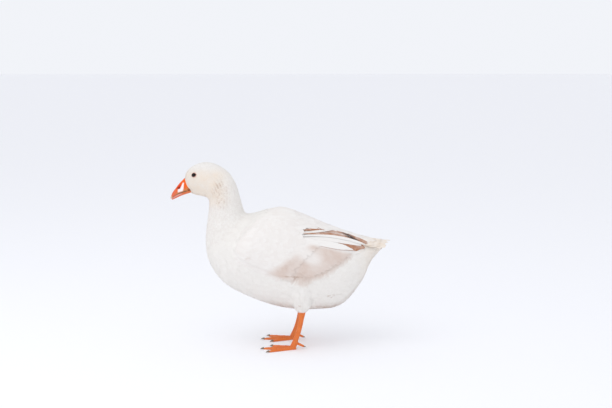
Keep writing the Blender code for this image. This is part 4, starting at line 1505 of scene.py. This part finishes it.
def makeFoot(side, ending, skinMaterial):
    # columns across the foot are smoothed between the lines; the top is the web's height plus
    # the toes' rounded backs with their plates, and the toes' pads lie on the floor
    across = np.linspace(0, 14, 127)
    lines = smoothRows(footColumns(), across)
    edge = np.minimum(across, across[::-1])[None, :]
    height = lines[:, 4].clip(0, 1)[None, :] * (0.12 + 0.88 * np.sqrt(ramp(edge, -0.1, 0.9)))
    t = 0.5 - 0.5 * np.cos(np.linspace(0, math.pi, 100))[:, None]
    x = lines[:, 0] + (lines[:, 2] - lines[:, 0]) * t
    y = lines[:, 1] + (lines[:, 3] - lines[:, 1]) * t
    away = np.hypot(x, y)
    toeTop = legShape["ankleTop"] - 0.0050 * t**0.5 - 0.0012 * t
    webTop = 0.0026 + 0.0044 * np.maximum(0, 1 - t / 0.25) ** 2
    joints = 0.0006 * (np.exp(-(((t - 0.42) / 0.05) ** 2)) + np.exp(-(((t - 0.72) / 0.05) ** 2)))
    back = toeTop + joints + scuteWave(away) * ramp(height, 0.3, 0.7)
    folds = 0.00025 * np.sin(away * 1100) * (1 - height)
    top = webTop + folds + (back - webTop) * height**0.8
    low = 0.0010 * (1 - ramp(height, 0.02, 0.25)) + 0 * t
    # the tip and the heel are rounded off over a tenth and a fourteenth of the length
    tipDrop = np.sqrt(np.clip(1 - ((t - 0.90) / 0.10).clip(0, 1) ** 2, 0, 1))
    rearDrop = np.sqrt(np.clip(1 - ((0.07 - t) / 0.07).clip(0, 1) ** 2, 0, 1))
    rounded = (0.25 + 0.75 * tipDrop) * (0.15 + 0.85 * rearDrop)
    top = np.maximum(low + 0.0006, low + (top - low) * rounded)
    outer = np.stack([side * (legShape["spread"] + x), legShape["ankleY"] + y, top], -1)
    inner = np.stack([outer[..., 0], outer[..., 1], low], -1)
    name = "webbedFoot_" + ending
    foot = addPiece(name, slabMesh(name, outer, inner), skinMaterial, 50)
    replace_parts(foot, "foot_" + ending)


def tubeAlong(name, path, radii, material, columns=24):
    # rings at right angles to a path in a standing plane
    way = unit(np.gradient(path, axis=0))
    across = unit(np.cross(way, (0, 0, 1)))
    up = np.cross(across, way)
    a = np.linspace(0, fullTurn, columns, endpoint=False)
    ring = np.cos(a)[None, :, None] * across[:, None] + np.sin(a)[None, :, None] * up[:, None]
    return addPiece(name, tubeMesh(name, path[:, None] + ring * radii[:, None, None]), material, 50)


def makeClaw(name, node, root, ahead, size, horn):
    # radius times (1 - t) ^ 0.7 along a line that bends down by the square of t
    length, radius = size
    t = np.linspace(-0.25, 1, 26)[:, None]
    path = root + ahead * length * t - np.array([0, 0, 0.28]) * length * np.sign(t) * t * t
    radii = radius * (1 - t[:, 0].clip(0, 1)) ** 0.7 + 0.0003
    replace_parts(tubeAlong(name, path, radii, horn, 18), node)


def makeLegs():
    # shank, webbed foot, three claws ahead, and behind them the hind toe with its own claw
    skinMaterial = legMaterial()
    horn = hornMaterial("wornClawHorn", 0.35, 0.2, 2.5, "#54463b", "#a08a74")
    spread, ankleY = legShape["spread"], legShape["ankleY"]
    for side, ending in ((1, "left"), (-1, "right")):
        mesh = tubeMesh("scalyShank_" + ending, shankRings(side))
        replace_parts(addPiece("scalyShank_" + ending, mesh, skinMaterial, 50), "shank_" + ending)
        makeFoot(side, ending, skinMaterial)
        for toe, length in legShape["toeLengths"].items():
            angle = math.radians(legShape["toeAngles"][toe])
            ahead = np.array([side * math.sin(angle), -math.cos(angle), 0])
            root = np.array([side * spread, ankleY, 0.0034]) + ahead * length
            names = (f"toeClaw_{ending}_{toe}", f"claw_{ending}_{toe}")
            makeClaw(*names, root, ahead, legShape["toeClaw"], horn)
        # the hind toe: a short tapering finger behind the ankle, with plates on its back
        t = np.linspace(-0.25, 1.03, 60)[:, None]
        start = np.array([side * (spread - 0.002), ankleY + 0.005, 0.0190])
        reach = np.array([0, 0.024, -0.0115])
        radii = 0.0040 - 0.0014 * t[:, 0] + scuteWave(t[:, 0] * reach[1])
        radii = radii * np.sqrt(np.clip(1 - ((t[:, 0] - 0.9) / 0.16).clip(0, 1) ** 2, 0.05, 1))
        toe = tubeAlong("hindToe_" + ending, start + reach * t, radii, skinMaterial)
        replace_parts(toe, "hind_toe_" + ending)
        names = (f"toeClaw_{ending}_hind", f"claw_{ending}_hind")
        makeClaw(*names, start + reach, np.array([0, 1.0, 0]), legShape["hindClaw"], horn)


makeLegs()
print("legs made")


def makeStage():
    # a square of 60 m on the floor's level, so wide that its edges lie far off
    corners = [(-30, -30, 0), (30, -30, 0), (30, 30, 0), (-30, 30, 0)]
    floor = fillMesh("floor", corners, [np.array([[0, 1, 2, 3]])])
    ground = bpy.data.objects.new("floor", floor)
    bpy.context.scene.collection.objects.link(ground)
    sockets = {"Base Color": linear("#fafafc"), "Roughness": 0.9}
    floor.materials.append(newMaterial("matteFloorPaint", sockets)[0])


# power in watts, sizes and places in metres
lighting = {
    "skyColour": "#f5f7fc",
    "skyStrength": 0.97,
    "aim": (0, 0, 0.25),
    "key": {"power": 20, "size": 2.6, "place": (1.4, -1.2, 3.0)},
    "fill": {"power": 14, "size": 3.0, "place": (3.6, -1.6, 0.9)},
}


def makeLight():
    # an even pale sky, and two wide lamps that look at one place over the feet
    world = bpy.data.worlds.new("softDaylight")
    world.use_nodes = True
    background = world.node_tree.nodes["Background"]
    background.inputs["Color"].default_value = linear(lighting["skyColour"])
    background.inputs["Strength"].default_value = lighting["skyStrength"]
    bpy.context.scene.world = world
    for name in ("key", "fill"):
        light = bpy.data.lights.new(name, "AREA")
        light.energy = lighting[name]["power"]
        light.size = lighting[name]["size"]
        lamp = bpy.data.objects.new(name, light)
        lamp.location = lighting[name]["place"]
        way = Vector(lighting["aim"]) - Vector(lighting[name]["place"])
        lamp.rotation_euler = way.to_track_quat("-Z", "Y").to_euler()
        bpy.context.scene.collection.objects.link(lamp)


# angles in degrees, the lens in millimetres
view = {
    "distance": 3.4,
    "elevation": 10.0,
    "pitch": -7.70,
    "turn": 1.2,
    "lens": 70,
    "target": 0.27,
}


def makeCamera():
    # it stands out along x at its distance and elevation from the target, and looks back along
    # x, turned by its own pitch and turn
    camera = bpy.data.cameras.new("camera")
    camera.lens = view["lens"]
    eye = bpy.data.objects.new("camera", camera)
    up, pitch, turn = (math.radians(view[key]) for key in ("elevation", "pitch", "turn"))
    eye.location = (view["distance"] * math.cos(up), 0, view["target"] + view["distance"] * math.sin(up))
    look = Vector((-math.cos(pitch) * math.cos(turn), math.cos(pitch) * math.sin(turn), math.sin(pitch)))
    eye.rotation_euler = look.to_track_quat("-Z", "Y").to_euler()
    bpy.context.scene.collection.objects.link(eye)
    bpy.context.scene.camera = eye
    bpy.context.scene.view_settings.view_transform = "Standard"


makeStage()
makeLight()
makeCamera()
print("stage, light and camera set")
